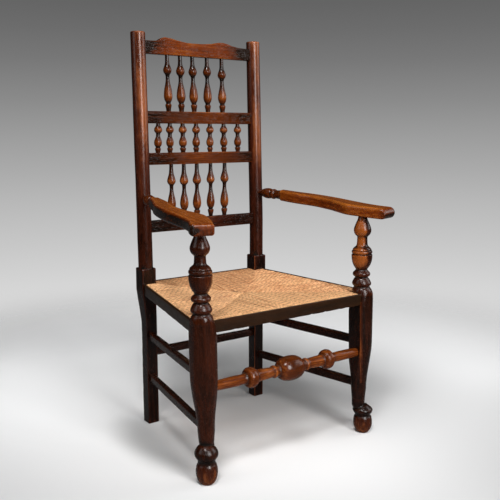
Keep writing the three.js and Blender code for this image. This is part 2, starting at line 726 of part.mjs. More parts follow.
// A bar with coped shoulders and a round tenon at each end. Where two bars meet in one leg,
// the tenons stand above or below the middle of the bar and so pass each other.
function tenonedBar(body, from, to, ends, radius, length, shift = 0) {
  const along = to.clone().sub(from).normalize();
  const back = along.clone().negate();
  const shoulders = coped(body, from, to, ...ends);
  const [low, high] = reachAlong(shoulders, from, along);
  const axis = from.clone().addScaledVector(upAxis, shift);
  const starts = [
    [axis.clone().addScaledVector(along, low + radius), back],
    [axis.clone().addScaledVector(along, high - radius), along],
  ];
  const tenons = starts.map(([at, way]) => pin(at, way, length + radius, radius));
  starts.forEach(([at, way]) => mortises.push(
    pin(at, way, length + radius + fitGap, radius + fitGap)));
  return joined([shoulders, ...tenons]);
}

const rushTools = [];
for (const [name, line] of Object.entries(seatLines)) {
  const from = line.at(-1, railInward, stripMiddle, railStartY);
  const to = line.at(1, railInward, stripMiddle, railStartY);
  const body = bar(from, to, seatRailSize, seatRailSize, seatRailRounding);
  const shift = seatRailTenonRadius + fitGap + seatRailTenonWall / 2;
  addPiece(`seat_rail_${name}`, tenonedBar(body, from, to, line.ends, seatRailTenonRadius,
    seatRailTenonLength, line.raised ? shift : -shift), finishes.darkWood);
  const grown = seatRailSize + 2 * fitGap;
  rushTools.push(bar(from, to, grown, grown, seatRailRounding));

  const stripFrom = line.at(-1, stripThickness / 2, stripMiddle, stripStartY);
  const stripTo = line.at(1, stripThickness / 2, stripMiddle, stripStartY);
  const strip = bar(stripFrom, stripTo, stripHeight, stripThickness, stripThickness / 5);
  addPiece(`edge_strip_${name}`, coped(strip, stripFrom, stripTo, ...line.ends),
    finishes.blackWood);
}

// The rush is a pad over the four rails. Its sides roll over the rails behind the strips, its
// top sinks towards the middle, and grooves run along the two mitre lines.
function rushPad() {
  const inward = stripThickness + fitGap;
  const half = (stripHeight - fitGap) / 2;
  const pad = new THREE.BoxGeometry(1, 1, 1, rushColumns, rushRows, rushLayers);
  const place = pad.attributes.position;
  for (let i = 0; i < place.count; i += 1) {
    const acrossShare = 2 * place.getX(i);
    const backShare = place.getY(i) + 1 / 2;
    const levelShare = 2 * place.getZ(i);
    const y = THREE.MathUtils.lerp(seatFrontY + inward, seatBackY - inward, backShare);
    const halfWidth = sideXAt(Math.max(y, sideFrontY)) - inward / sideCos;
    const sideDepth = 1 - Math.abs(acrossShare);
    const endDepth = 2 * Math.min(backShare, 1 - backShare);
    const depthShare = Math.min(sideDepth, endDepth);
    const mitre = (sideDepth - endDepth) / rushGrooveShare;
    const groove = rushValley * Math.exp(-mitre * mitre) * Math.sqrt(depthShare);
    const sunk = rushDip * THREE.MathUtils.smoothstep(depthShare, 0, 1);
    const rounding = depthShare === 0 ? rushEdgeRounding : 0;
    const onFace = Math.abs(levelShare) === 1;
    const reach = onFace ? half - rounding - sunk - groove : half * Math.abs(levelShare);
    place.setXYZ(i, acrossShare * halfWidth, y,
      seatTopAt(y) - stripMiddle + Math.sign(levelShare) * reach);
  }
  return solidOf(pad);
}

function legNotch(frame, size, seatTop) {
  const box = new THREE.BoxGeometry(size, size, 2 * stripHeight);
  return solidOf(box, frame.clone().multiply(moved(0, 0, seatTop - stripMiddle)));
}

for (const side of [-1, 1]) {
  const postPlace = moved(side * postSpan / 2, postAxisY, 0);
  rushTools.push(legNotch(legFrame(side), blankSize + 2 * fitGap, seatTopAt(frontRailY)));
  rushTools.push(legNotch(postPlace, postBlockSize + 2 * fitGap, seatTopAt(backRailY)));
}
addPiece("rush_seat", cutBy(rushPad(), rushTools), finishes.rush);

// STRETCHERS
// The front one is turned; the others are plain bars with rounded edges.
function frontStretcher() {
  const y = legAxisY(frontStretcherHeight);
  const from = point(-legSpan / 2, y, frontStretcherHeight);
  const to = point(legSpan / 2, y, frontStretcherHeight);
  const half = (legSpan - blankSize) / 2;
  const oneSide = scaled(stretcherShares, half, frontStretcherRadius);
  const otherSide = oneSide.slice(1).reverse().map(([h, r]) => [-h, r]);
  const whole = [[-legSpan / 2, oneSide.at(-1)[1]], ...otherSide, ...oneSide,
    [legSpan / 2, oneSide.at(-1)[1]]].map(([h, r]) => [h + legSpan / 2, r]);
  const body = turned(whole, stretcherFacets, frameAlong(from, to));
  return tenonedBar(body, from, to, [legSolids.left, legSolids.right],
    frontStretcherTenonRadius, stretcherTenonLength);
}

function plainStretcher(from, to, ends) {
  const body = bar(from, to, plainStretcherHeight, plainStretcherThickness,
    plainStretcherRounding);
  return tenonedBar(body, from, to, ends, stretcherTenonRadius, stretcherTenonLength);
}

addPiece("stretcher_front", frontStretcher(), finishes.turnedWood);

const postLegY = postFrontY + postFootSize / 2;
const postLegX = postSpan / 2 - postBlockSize / 2 + postFootSize / 2;
addPiece("stretcher_back", plainStretcher(
  point(-postLegX, postLegY, backStretcherHeight), point(postLegX, postLegY, backStretcherHeight),
  [postSolids.left, postSolids.right]), finishes.darkWood);

for (const [name, side] of [["left", -1], ["right", 1]]) {
  for (const [level, height] of [["upper", sideUpperHeight], ["lower", sideLowerHeight]]) {
    const from = point(side * legSpan / 2, legAxisY(height), height);
    const to = point(side * postLegX, postLegY, height);
    addPiece(`stretcher_${level}_${name}`, plainStretcher(from, to,
      [legSolids[name], postSolids[name]]), finishes.darkWood);
  }
}

// MORTISES, and the pieces that they open
for (const [name, side] of [["left", -1], ["right", 1]]) {
  const railMortises = Object.values(backRails).map(({ middle }) => railTenon(side, middle, fitGap));
  addPiece(`back_post_${name}`, cutBy(postSolids[name], [...mortises, ...railMortises]),
    finishes.darkWood);
  addPiece(`front_leg_${name}`, cutBy(legSolids[name], mortises), finishes.darkWood);
  addPiece(`arm_${name}`, armSolids[name], finishes.wornWood);
}
for (const [name, { solid, finish }] of Object.entries(backRails)) addPiece(name, solid, finish);

// Centre the chair over the origin
const bounds = new THREE.Box3().setFromObject(chair);
const middle = bounds.getCenter(new THREE.Vector3());
for (const mesh of chair.children) mesh.position.set(-middle.x, -middle.y, 0);

export default chair;
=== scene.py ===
# %% [markdown]
# # A rush-seated spindle back armchair
# The chair stands on the floor over the origin, its front towards -Y. Every length below is in
# millimetres, in the joiner's own frame: y = 0 is the middle of the front legs at the floor, and
# z = 0 is the floor. Blender works in metres, so the last step of each piece scales it.

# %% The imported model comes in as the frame
import math

import bmesh
import bpy
import numpy as np
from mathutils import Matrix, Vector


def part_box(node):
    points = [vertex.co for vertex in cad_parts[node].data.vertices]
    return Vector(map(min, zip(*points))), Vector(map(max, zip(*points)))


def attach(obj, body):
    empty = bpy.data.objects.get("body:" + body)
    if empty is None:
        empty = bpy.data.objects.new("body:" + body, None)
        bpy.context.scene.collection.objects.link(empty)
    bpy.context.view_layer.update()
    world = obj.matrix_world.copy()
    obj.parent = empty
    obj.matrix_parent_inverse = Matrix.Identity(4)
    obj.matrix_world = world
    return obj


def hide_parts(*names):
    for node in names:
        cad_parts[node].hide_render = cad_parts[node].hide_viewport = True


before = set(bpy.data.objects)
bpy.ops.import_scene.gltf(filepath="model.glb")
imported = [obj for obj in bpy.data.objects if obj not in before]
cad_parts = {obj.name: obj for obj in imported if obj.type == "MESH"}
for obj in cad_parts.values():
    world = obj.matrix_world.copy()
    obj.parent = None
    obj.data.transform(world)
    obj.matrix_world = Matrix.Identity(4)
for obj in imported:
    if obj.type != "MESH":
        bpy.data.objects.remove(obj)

scene = bpy.context.scene
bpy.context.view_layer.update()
MM = 0.001
# The back posts' flat front face stands 402 mm behind the front legs' middle.
POST_FRONT = 402.0
SHIFT_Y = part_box("back_post_left")[0].y / MM - POST_FRONT
print("the joiner's frame lies", round(SHIFT_Y, 2), "mm along y")

# %% [markdown]
# ## The camera
# The place and the lens come from a fit of the chair's own lines to the picture: the two posts,
# the seat's four corners and the feet fix them. A lens of 52 mm from 2 m away keeps uprights
# nearly parallel. The camera looks down a little, so the top of the seat opens up.

# %% The camera at the picture's viewpoint
CAMERA_PLACE = (-1.1363, -1.5942, 0.8433)
CAMERA_DOWN = 9.23
CAMERA_TURN = 35.81
lens = bpy.data.cameras.new("camera")
lens.lens = 51.56
lens.sensor_width = 36.0
camera = bpy.data.objects.new("camera", lens)
camera.location = CAMERA_PLACE
camera.rotation_euler = (math.radians(90 - CAMERA_DOWN), 0, -math.radians(CAMERA_TURN))
scene.collection.objects.link(camera)
scene.camera = camera
print("camera", CAMERA_PLACE, "down", CAMERA_DOWN, "turned", CAMERA_TURN, "degrees")

# %% [markdown]
# ## Profiles
# A turner works from a pattern stick: a row of diameters at marked distances. The shape between
# two marks has to flow without bulging past either. A cubic with limited slopes does that, and
# one function serves all the turned pieces, the crest's outline and the plan of the arms.


# %% A line through a pattern's marks
def through_marks(x, marks):
    """The height of a smooth line at x. Between two marks it is a cubic. Its slope at a mark is
    the harmonic mean of the slopes on both sides, or 0 where these differ in sign."""
    xs, ys = np.asarray(marks, float).T
    step = np.diff(xs)
    slope = np.diff(ys) / step
    turns = slope[:-1] * slope[1:] <= 0
    total = np.where(turns, 1.0, slope[:-1] + slope[1:])
    inner = np.where(turns, 0.0, 2 * slope[:-1] * slope[1:] / total)
    slopes = np.concatenate([slope[:1], inner, slope[-1:]])
    i = np.clip(np.searchsorted(xs, x, side="right") - 1, 0, len(step) - 1)
    t = np.clip((x - xs[i]) / step[i], 0, 1)
    start = (1 + 2 * t) * (1 - t) ** 2 * ys[i] + t * (1 - t) ** 2 * step[i] * slopes[i]
    end = t * t * (3 - 2 * t) * ys[i + 1] + t * t * (t - 1) * step[i] * slopes[i + 1]
    return start + end


print("half way between marks of 1 and 3:", through_marks(np.array([0.5]), [(0, 1), (1, 3)]))

# %% [markdown]
# ## Skins
# Nearly every piece here is a tube of rings: an array of shape (rings, points around, 3). One
# function turns such an array into faces, whatever the rings look like, so the making of a piece
# is only the making of its rings.
#
# On wood, three things ride on each point. "relief" tells how far it stands proud of what surrounds it,
# the rubbed tone how much sitters' hands and cloths have rubbed the stain away there, which on the
# posts also holds painted light for the lamps' sheen, and "grain" is its place in the plank, with the
# fibres along the third number, so that the grain follows each piece and no two are the same.


# %% Normals of a tube
def unit(vectors):
    """The vectors, each divided by its length."""
    return vectors / np.maximum(np.linalg.norm(vectors, axis=-1, keepdims=True), 1e-9)


def outward(rings):
    """Unit normals of the tube: the cross product of the steps around it and along it."""
    around = np.roll(rings, -1, 1) - np.roll(rings, 1, 1)
    normals = unit(np.cross(around, np.gradient(rings, axis=0)))
    middle = rings.mean(axis=1, keepdims=True)
    return normals * np.sign(np.sum(normals * (rings - middle)) or 1.0)


print("the unit vector of 3 and 4 is", unit(np.array([3.0, 4.0])))


# %% Faces of a tube
def tube_faces(count, around):
    """Faces of a tube of rings: four-sided between rings, and a fan to a middle point at both
    ends. The middle points come after all rings."""
    grid = np.arange(count * around).reshape(count, around)
    after = np.roll(grid, -1, 1)
    sides = np.stack([grid[:-1], after[:-1], after[1:], grid[1:]], -1).reshape(-1, 4)
    low = np.full(around, count * around)
    ends = np.concatenate([
        np.stack([grid[0], low, after[0]], -1), np.stack([grid[-1], after[-1], low + 1], -1)])
    return sides, ends


def enclosed(points, sides):
    """Six times the volume inside the sides: positive when the faces point outwards."""
    a, b, c, d = (points[sides[:, k]] for k in range(4))
    middle = points.mean(axis=0)
    return float(np.sum(np.cross(b - a, d - a) * (a - middle))
                 + np.sum(np.cross(d - c, b - c) * (c - middle)))


print("a tube of 3 rings of 4 points has", [len(f) for f in tube_faces(3, 4)], "faces")


# %% Tubes into one mesh
def with_ends(values):
    """What the rings hold as one row of points, with the means of the first and last ring."""
    ends = np.stack([values[0].mean(0), values[-1].mean(0)])
    return np.concatenate([values.reshape(-1, *values.shape[2:]), ends])


def mesh_from(*shells):
    """One mesh of closed tubes. Each shell is a dict with its rings and its numbers per point;
    its coordinates become metres in the shared frame."""
    points, sides, ends, numbers, first = [], [], [], {}, 0
    for shell in shells:
        flat = with_ends(shell["rings"] * MM + np.array([0, SHIFT_Y * MM, 0]))
        quads, fans = tube_faces(*shell["rings"].shape[:2])
        if enclosed(flat, quads) < 0:
            quads, fans = quads[:, ::-1], fans[:, ::-1]
        points.append(flat)
        sides.append(quads + first)
        ends.append(fans + first)
        for key, value in shell["numbers"].items():
            numbers.setdefault(key, []).append(with_ends(value))
        first += len(flat)
    mesh = bpy.data.meshes.new("tubes")
    faces = np.concatenate(sides).tolist() + np.concatenate(ends).tolist()
    mesh.from_pydata(np.concatenate(points), [], faces)
    for key, values in numbers.items():
        whole = np.concatenate(values)
        vector = whole.ndim == 2
        layer = mesh.attributes.new(key, "FLOAT_VECTOR" if vector else "FLOAT", "POINT")
        layer.data.foreach_set("vector" if vector else "value", whole.astype(np.float32).ravel())
    mesh.polygons.foreach_set("use_smooth", np.ones(len(mesh.polygons), bool))
    mesh.set_sharp_from_angle(angle=math.radians(38))
    return mesh


print("4 rings of 3 points and their ends make", len(with_ends(np.zeros((4, 3, 3)))), "points")

# %% A piece that stands for its CAD nodes
# The finishes by their names, and the names of the pieces, both filled in below.
finishes, finished = {}, []


def place(name, mesh, finish, *nodes):
    """Make the mesh's object, give it its finish, and let it stand for the CAD nodes."""
    mesh.name = name
    mesh.materials.clear()
    mesh.materials.append(finishes[finish])
    piece = bpy.data.objects.new(name, mesh)
    scene.collection.objects.link(piece)
    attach(piece, "root")
    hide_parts(*nodes)
    finished.append(name)
    return piece


# %% [markdown]
# ## Wood by hand
# Nothing on an old chair is quite true. A turned leg is out of round by a few tenths of a
# millimetre, and a sawn rail waves a little. That is what breaks up the long highlights. A bump
# in the finish could fake it, but here it is made in the mesh, so the outline shows it too: a sum
# of slow waves moves each point along its normal.

# %% Uneven surfaces
dice = np.random.default_rng(1780)
WAVES, LONGEST_WAVE = 7, 160.0


def uneven(rings, amount):
    """Each point moves along its normal by a sum of sine waves of its place, with lengths from
    a fifth of the longest up to the longest, and heights that add up to about the amount."""
    lengths = LONGEST_WAVE * dice.uniform(0.2, 1.0, WAVES)
    headings = unit(dice.normal(size=(WAVES, 3))) * (2 * np.pi / lengths)[:, None]
    starts = dice.uniform(0, 2 * np.pi, WAVES)
    swell = np.sin(rings @ headings.T + starts) @ (lengths / lengths.sum())
    return rings + outward(rings) * (amount * swell)[..., None]


print("waves of", LONGEST_WAVE / 5, "to", LONGEST_WAVE, "mm in every surface")


# %% Relief and the place in the plank
def blurred(rings, along, around):
    """The rings, averaged with their neighbours along the tube and around it: each pass gives
    a point half of itself and a quarter of either neighbour."""
    for _ in range(along):
        padded = np.concatenate([rings[:1], rings, rings[-1:]])
        rings = (padded[:-2] + 2 * rings + padded[2:]) / 4
    for _ in range(around):
        rings = (np.roll(rings, 1, 1) + 2 * rings + np.roll(rings, -1, 1)) / 4
    return rings


def in_plank(rings, start, end):
    """The place in the plank, in metres: the third number runs from start to end, the other two
    across. A random start gives each piece wood of its own."""
    along = unit(np.subtract(end, start).astype(float))
    third = unit(np.cross(along, (0.31, 0.87, 0.39)))
    basis = np.stack([np.cross(along, third), third, along])
    shift = dice.uniform([-0.03, -0.03, 0], [0.03, 0.03, 9])
    return (rings - np.asarray(start, float)) @ basis.T * MM + shift


def wood(rings, rough, along, around, handled_and_lit=0.0, ends=None):
    """A shell of wood: the rings made uneven, with what rides on each point. Its relief is the
    distance along the normal from the tube after so many passes of blur along and around it,
    handled is a number or an array that fits the rings, and the fibres run from end to end."""
    start, end = ends if ends is not None else (rings[0].mean(0), rings[-1].mean(0))
    relief = np.sum((rings - blurred(rings, along, around)) * outward(rings), -1)
    rings = uneven(rings, rough)
    return {"rings": rings, "numbers": {
        "grain": in_plank(rings, start, end), "relief": relief,
        "handled_and_lit": np.broadcast_to(handled_and_lit, relief.shape) * 1.0}}


print("after two passes of blur a spike keeps", blurred(np.eye(5)[:, None], 2, 0)[2, 0, 2])

# %% [markdown]
# ## Turned pieces and bars
# A lathe carries a pattern round an axis, and a saw and a plane leave a bar. So a turned piece is
# its pattern carried round a line. A bar is a rounded rectangle carried along a line, with its
# width, height and corner free to change on the way. A Bevel modifier would round a box too, but
# these rings also give the grain and the wear their places.


# %% Turned rings
def axes_along(start, end):
    """Three unit vectors: level across, third, and along the line from start to end."""
    along = unit(np.subtract(end, start).astype(float))
    across = np.cross((0, 0, 1.0), along)
    across = unit(across) if np.linalg.norm(across) > 1e-6 else np.array((0, 1.0, 0))
    return across, np.cross(along, across), along


def circle(count):
    """The angles of so many points round a circle, and the unit vectors to them in plan."""
    angle = np.linspace(0, 2 * np.pi, count, endpoint=False)
    return angle, np.column_stack([np.cos(angle), np.sin(angle), 0 * angle])


def turned(start, end, marks, around, spacing):
    """Rings of a turned piece. At distance s from the start, the point at angle a lies at
    r(s) cos a across, r(s) sin a on the third axis and s along."""
    marks = np.asarray(marks, float)
    count = max(8, int((marks[-1, 0] - marks[0, 0]) / spacing))
    s = np.unique(np.concatenate([np.linspace(marks[0, 0], marks[-1, 0], count), marks[:, 0]]))
    across, third, along = axes_along(start, end)
    _, flat = circle(around)
    ring = flat[:, :1] * across + flat[:, 1:2] * third
    return (np.asarray(start, float) + s[:, None, None] * along
            + through_marks(s, marks)[:, None, None] * ring)


print("the axes along z are", [v.tolist() for v in axes_along((0, 0, 0), (0, 0, 1))])


# %% Bar rings
def bar_section(side_points, corner_points):
    """The unit form of a rounded rectangle, once round it: the place on the inner rectangle,
    from -1 to 1, and the direction in which the corner's radius is added."""
    corners = np.array([(1, 1), (-1, 1), (-1, -1), (1, -1)], float)
    parts = []
    for k, corner in enumerate(corners):
        angle = (k + np.linspace(0, 1, corner_points)) * np.pi / 2
        parts.append(np.column_stack([
            np.tile(corner, (corner_points, 1)), np.cos(angle), np.sin(angle)]))
        share = np.linspace(0, 1, side_points + 2)[1:-1, None]
        spot = corner + share * (corners[(k + 1) % 4] - corner)
        facing = np.tile((np.cos(angle[-1]), np.sin(angle[-1])), (side_points, 1))
        parts.append(np.column_stack([spot, facing]))
    return np.concatenate(parts)


def bar(middle, across, up, width, height, corner, section):
    """Rings of a bar. Round the middle of each station, the section's point is the inner
    rectangle's half sides times the unit place, plus the corner's radius times its direction."""
    one = np.ones(len(middle))
    width, height, corner = (np.asarray(v) * one for v in (width, height, corner))
    x = (width / 2 - corner)[:, None] * section[:, 0] + corner[:, None] * section[:, 2]
    y = (height / 2 - corner)[:, None] * section[:, 1] + corner[:, None] * section[:, 3]
    across, up = (np.broadcast_to(v, middle.shape)[:, None] for v in (across, up))
    return middle[:, None] + x[..., None] * across + y[..., None] * up


print("a section of", len(bar_section(3, 7)), "points serves the plain bars")


# %% Rounded ends, humps and ramps
def rounded_end(distance, radius):
    """How far a board's surface draws in at a distance from its end: a quarter circle."""
    inside = np.clip(1 - distance / radius, 0, 1)
    return radius * (1 - np.sqrt(1 - inside ** 2))


def hump(values, middle, width):
    """A bell curve of the values: 1 at the middle, and about a third at the width from it."""
    return np.exp(-((values - middle) / width) ** 2)


def ramp(values, low, high):
    """0 up to low, 1 from high, and even between."""
    return np.clip((values - low) / (high - low), 0, 1)


print("at its width a hump has fallen to", round(float(hump(1, 0, 1)), 2))

# %% [markdown]
# ## The wood's finish
# Old waxed beech and fruitwood: a dark stain that handling has rubbed back to brown on the
# proud places, with wax and dust packed black into the grooves. Painted pictures of wood would
# slide over the turned shapes. So one shader group makes the figure of the wood from its place in
# the plank, and each finish gives it its own three colours.

# %% Nodes and their links
SOCKET = bpy.types.NodeSocket


def fill(node, inputs):
    """Give a node its inputs. An input is a value, or another node's output to be linked."""
    for key, value in inputs.items():
        if isinstance(value, SOCKET):
            node.id_data.links.new(value, node.inputs[key])
        else:
            node.inputs[key].default_value = value
    return node


def add_node(tree, kind, inputs=None, **settings):
    """A new node with its settings and its inputs."""
    node = tree.nodes.new(kind)
    for key, value in settings.items():
        setattr(node, key, value)
    return fill(node, inputs or {})


def after_node(kind, inputs, **settings):
    """The outputs of a new node, in the tree of the first output that it is linked to."""
    tree = next(v for v in inputs.values() if isinstance(v, SOCKET)).id_data
    return add_node(tree, kind, inputs, **settings).outputs


print("an input that is a", SOCKET.__name__, "is linked, and any other is set")


# %% Arithmetic, colours and patterns in nodes
def reckon(operation, a, b=0.0, clamp=False):
    """The output of a step of arithmetic."""
    return after_node("ShaderNodeMath", {0: a, 1: b}, operation=operation, use_clamp=clamp)[0]


def times(a, b, clamp=False):
    """The product of two numbers."""
    return reckon("MULTIPLY", a, b, clamp)


def plus(*numbers, clamp=False):
    """The sum of the numbers."""
    total = numbers[0]
    for number in numbers[1:]:
        total = reckon("ADD", total, number, clamp)
    return total


def mixed(share, first, second):
    """A colour between two colours."""
    return after_node("ShaderNodeMix", {"Factor": share, 6: first, 7: second}, data_type="RGBA")[2]


def spread(value, low, high, start=0.0, end=1.0):
    """The value, taken from low..high to start..end and held there."""
    return after_node("ShaderNodeMapRange", {0: value, 1: low, 2: high, 3: start, 4: end})[0]


def scaled(vector, scale):
    """The place, scaled along each axis."""
    return after_node("ShaderNodeMapping", {0: vector, 3: scale})[0]


def noise(vector, scale, detail=2.0, roughness=0.5):
    """The value of a noise pattern at a place, which is scaled along each axis first."""
    return after_node("ShaderNodeTexNoise", {
        "Vector": scaled(vector, scale), "Scale": 1.0, "Detail": detail, "Roughness": roughness})[0]


def riding(tree, name, output="Fac"):
    """What rides on the mesh's points under a name."""
    return add_node(tree, "ShaderNodeAttribute", attribute_name=name).outputs[output]


def new_material(name):
    """The tree of a new material, and the Principled BSDF in it."""
    material = finishes[name] = bpy.data.materials.new(name)
    material.use_nodes = True
    return material.node_tree, material.node_tree.nodes["Principled BSDF"]


def srgb(red, green, blue):
    """A colour written as on a screen, 0 to 255, made linear."""
    share = np.array([red, green, blue]) / 255
    linear = np.where(share <= 0.04045, share / 12.92, ((share + 0.055) / 1.055) ** 2.4)
    return (*linear.tolist(), 1.0)


print("a mid grey of 128 is", round(srgb(128, 128, 128)[0], 3), "of full light")

# %% The group that makes the figure and the wear of the wood
old_wood = bpy.data.node_groups.new("old_waxed_wood", "ShaderNodeTree")
for way, kind, labels in (("INPUT", "Vector", ["Grain"]), ("INPUT", "Color", ["Stain", "Wood", "Rubbed"]),
                          ("INPUT", "Float", ["Relief", "Handled And Lit", "Ring Width", "Wear", "Grime", "Gloss"]),
                          ("OUTPUT", "Color", ["Colour"]), ("OUTPUT", "Float", ["Roughness", "Height"])):
    for label in labels:
        old_wood.interface.new_socket(label, in_out=way, socket_type="NodeSocket" + kind)
given = add_node(old_wood, "NodeGroupInput").outputs
# What fills the hollows, and how far the tree's pith lies from the middle of the plank.
WAX_AND_DUST, PITH_AWAY = (0.005, 0.003, 0.002, 1), 0.05


def figure_noise(across, along, *settings):
    """A noise pattern in the plank, with its scale across and along the fibres."""
    return noise(given["Grain"], (across, across, along), *settings)


slow = figure_noise(14, 1.6, 2.0)
fibres = figure_noise(620, 20, 3.0, 0.6)
streaks = figure_noise(170, 7, 2.0, 0.55)
patches = figure_noise(26, 9, 3.0, 0.6)
scuffs = figure_noise(110, 45, 4.0, 0.65)
pores = spread(figure_noise(1500, 70, 1.0), 0.60, 0.70)
in_section = after_node("ShaderNodeSeparateXYZ", {0: given["Grain"]})
from_pith = reckon("SQRT", plus(reckon("POWER", plus(in_section[0], PITH_AWAY), 2.0),
                                reckon("POWER", in_section[1], 2.0)))
turns = reckon("DIVIDE", plus(from_pith, times(slow, 0.06)), given["Ring Width"])
year_rings = reckon("SINE", times(turns, 2 * math.pi))
figure = plus(times(year_rings, 0.05), spread(fibres, 0.25, 0.75, -0.08, 0.08),
              spread(streaks, 0.3, 0.7, -0.07, 0.07), spread(patches, 0.3, 0.7, -0.09, 0.09),
              spread(scuffs, 0.3, 0.7, -0.09, 0.09))
proud = reckon("MINIMUM", times(given["Relief"], 0.20), 0.34)
# The hands' tone is wear, and on the posts also painted light where the lamps' sheen falls.
light = plus(given["Wear"], given["Handled And Lit"], figure, proud)
hollow = times(plus(times(given["Relief"], -1.05), spread(scuffs, 0.3, 0.7, -0.25, 0.12)),
               given["Grime"], clamp=True)
stained = mixed(spread(light, 0.0, 0.5), given["Stain"], given["Wood"])
rubbed = mixed(spread(light, 0.5, 1.0), stained, given["Rubbed"])
pored = mixed(times(pores, 0.4), rubbed, given["Stain"])
add_node(old_wood, "NodeGroupOutput", {
    "Colour": mixed(hollow, pored, WAX_AND_DUST),
    "Roughness": plus(given["Gloss"], plus(spread(scuffs, 0.25, 0.75, -0.05, 0.10), times(hollow, 0.3)),
                      clamp=True),
    "Height": plus(times(fibres, 0.3), times(scuffs, 0.12), times(pores, -0.5))})
print("old_waxed_wood has", len(old_wood.nodes), "nodes")

# %% The finishes made with the group
# The stain, the wood under it, the wood where it is rubbed, the wear, the roughness of the wax
# and the width of a year ring.
FINISHES = {"dark_wood": ((16, 6, 2), (58, 21, 5), (140, 72, 24), 0.36, 0.23, 0.006),
            # The posts' rubbed colour is pale and pinkish, as it is also the painted sheen on their fronts.
            "post_wood_and_sheen": ((18, 6, 3), (70, 28, 12), (158, 88, 46), 0.36, 0.2, 0.006),
            "turned_wood": ((20, 7, 2), (88, 37, 6), (176, 98, 40), 0.46, 0.18, 0.006),
            "worn_wood": ((26, 10, 2), (106, 43, 4), (170, 96, 32), 0.48, 0.23, 0.009),
            "black_wood": ((18, 9, 2), (50, 25, 4), (120, 70, 22), 0.26, 0.32, 0.006)}
for name, (stain, bare, rubbed, wear, gloss, ring_width) in FINISHES.items():
    tree, shader = new_material(name)
    group = add_node(tree, "ShaderNodeGroup", {
        "Grain": riding(tree, "grain", "Vector"), "Relief": riding(tree, "relief"),
        "Handled And Lit": riding(tree, "handled_and_lit"), "Ring Width": ring_width, "Stain": srgb(*stain),
        "Wood": srgb(*bare), "Rubbed": srgb(*rubbed), "Wear": wear, "Grime": 0.6, "Gloss": gloss},
        node_tree=old_wood).outputs
    bump = after_node("ShaderNodeBump", {"Strength": 1.0, "Distance": 0.0002, "Height": group["Height"]})
    fill(shader, {"Base Color": group["Colour"], "Roughness": group["Roughness"], "Normal": bump[0],
                  "IOR": 1.37, "Coat Weight": 0.12, "Coat Roughness": 0.2})
print("finishes:", list(FINISHES))

# %% [markdown]
# ## The back posts
# Each post is square at the foot, tapered, square again in a block at the seat, and round above,
# where it leans back. One skin does it all: seen from its own axis, each height has one radius
# in each direction, either that of a square with worn corners or that of a circle. So no joint
# between a square and a round piece has to be hidden.

# %% Distances that the posts, rails and spindles share
CHAIR_HEIGHT, BLOCK_TOP = 1120.0, 464.0
POST_SPAN, POST_TOP_SPAN = 393.2, 388.2
POST_LOW_RADIUS, POST_TOP_RADIUS, POST_AROUND = 20.8, 20.4, 96
BLOCK, FOOT = 43.0, 33.6
POST_LEAN = math.atan2(20.0, CHAIR_HEIGHT - BLOCK_TOP)
POST_DRAW = math.atan2((POST_SPAN - POST_TOP_SPAN) / 2, CHAIR_HEIGHT - BLOCK_TOP)
POST_AXIS_Y = POST_FRONT + BLOCK / 2
SIDES = (("left", -1), ("right", 1))
# The angle in a ring of the corner towards the front left.
FRONT_LEFT = 1.25 * math.pi


def back_point(x, height):
    """Points in the plane of the leaning back."""
    y = POST_AXIS_Y + (height - BLOCK_TOP) * math.tan(POST_LEAN)
    return np.stack(np.broadcast_arrays(x, y, height), -1)


def post_x(height):
    """Half the distance between the posts' axes at a height."""
    return POST_SPAN / 2 - (height - BLOCK_TOP) * math.tan(POST_DRAW)


def post_radius(height):
    """The round post's radius at a height, which shrinks evenly from the block to the top."""
    return np.interp(height, [BLOCK_TOP, CHAIR_HEIGHT], [POST_LOW_RADIUS, POST_TOP_RADIUS])


def square_radius(angle, half, sharpness=22.0):
    """A square's radius at an angle. The n-th root of |cos|^n + |sin|^n rounds its corners, and
    a greater n leaves less of the rounding."""
    total = np.abs(np.cos(angle)) ** sharpness + np.abs(np.sin(angle)) ** sharpness
    return half / total ** (1 / sharpness)


print("the posts lean back by", round(math.degrees(POST_LEAN), 2), "degrees")

# %% Rings of a post
# A post's thickness below the block's top, and how much is trimmed off it at both ends.
POST_SIZE = [(0, FOOT), (300, FOOT), (310, FOOT + 0.6), (395, BLOCK - 0.5), (402, BLOCK), (BLOCK_TOP, BLOCK)]
POST_TRIM = [(0, 2.2), (0.8, 1.0), (2.5, 0), (461.5, 0), (462.6, 0.5), (463.5, 1.4), (BLOCK_TOP, 2.5)]
TOP_ROUNDING, TOP_FLAT = 3.2, 9.0
# The right post is bowed outwards above the block.
POST_BOW = {-1: 0.0, 1: 2.8}


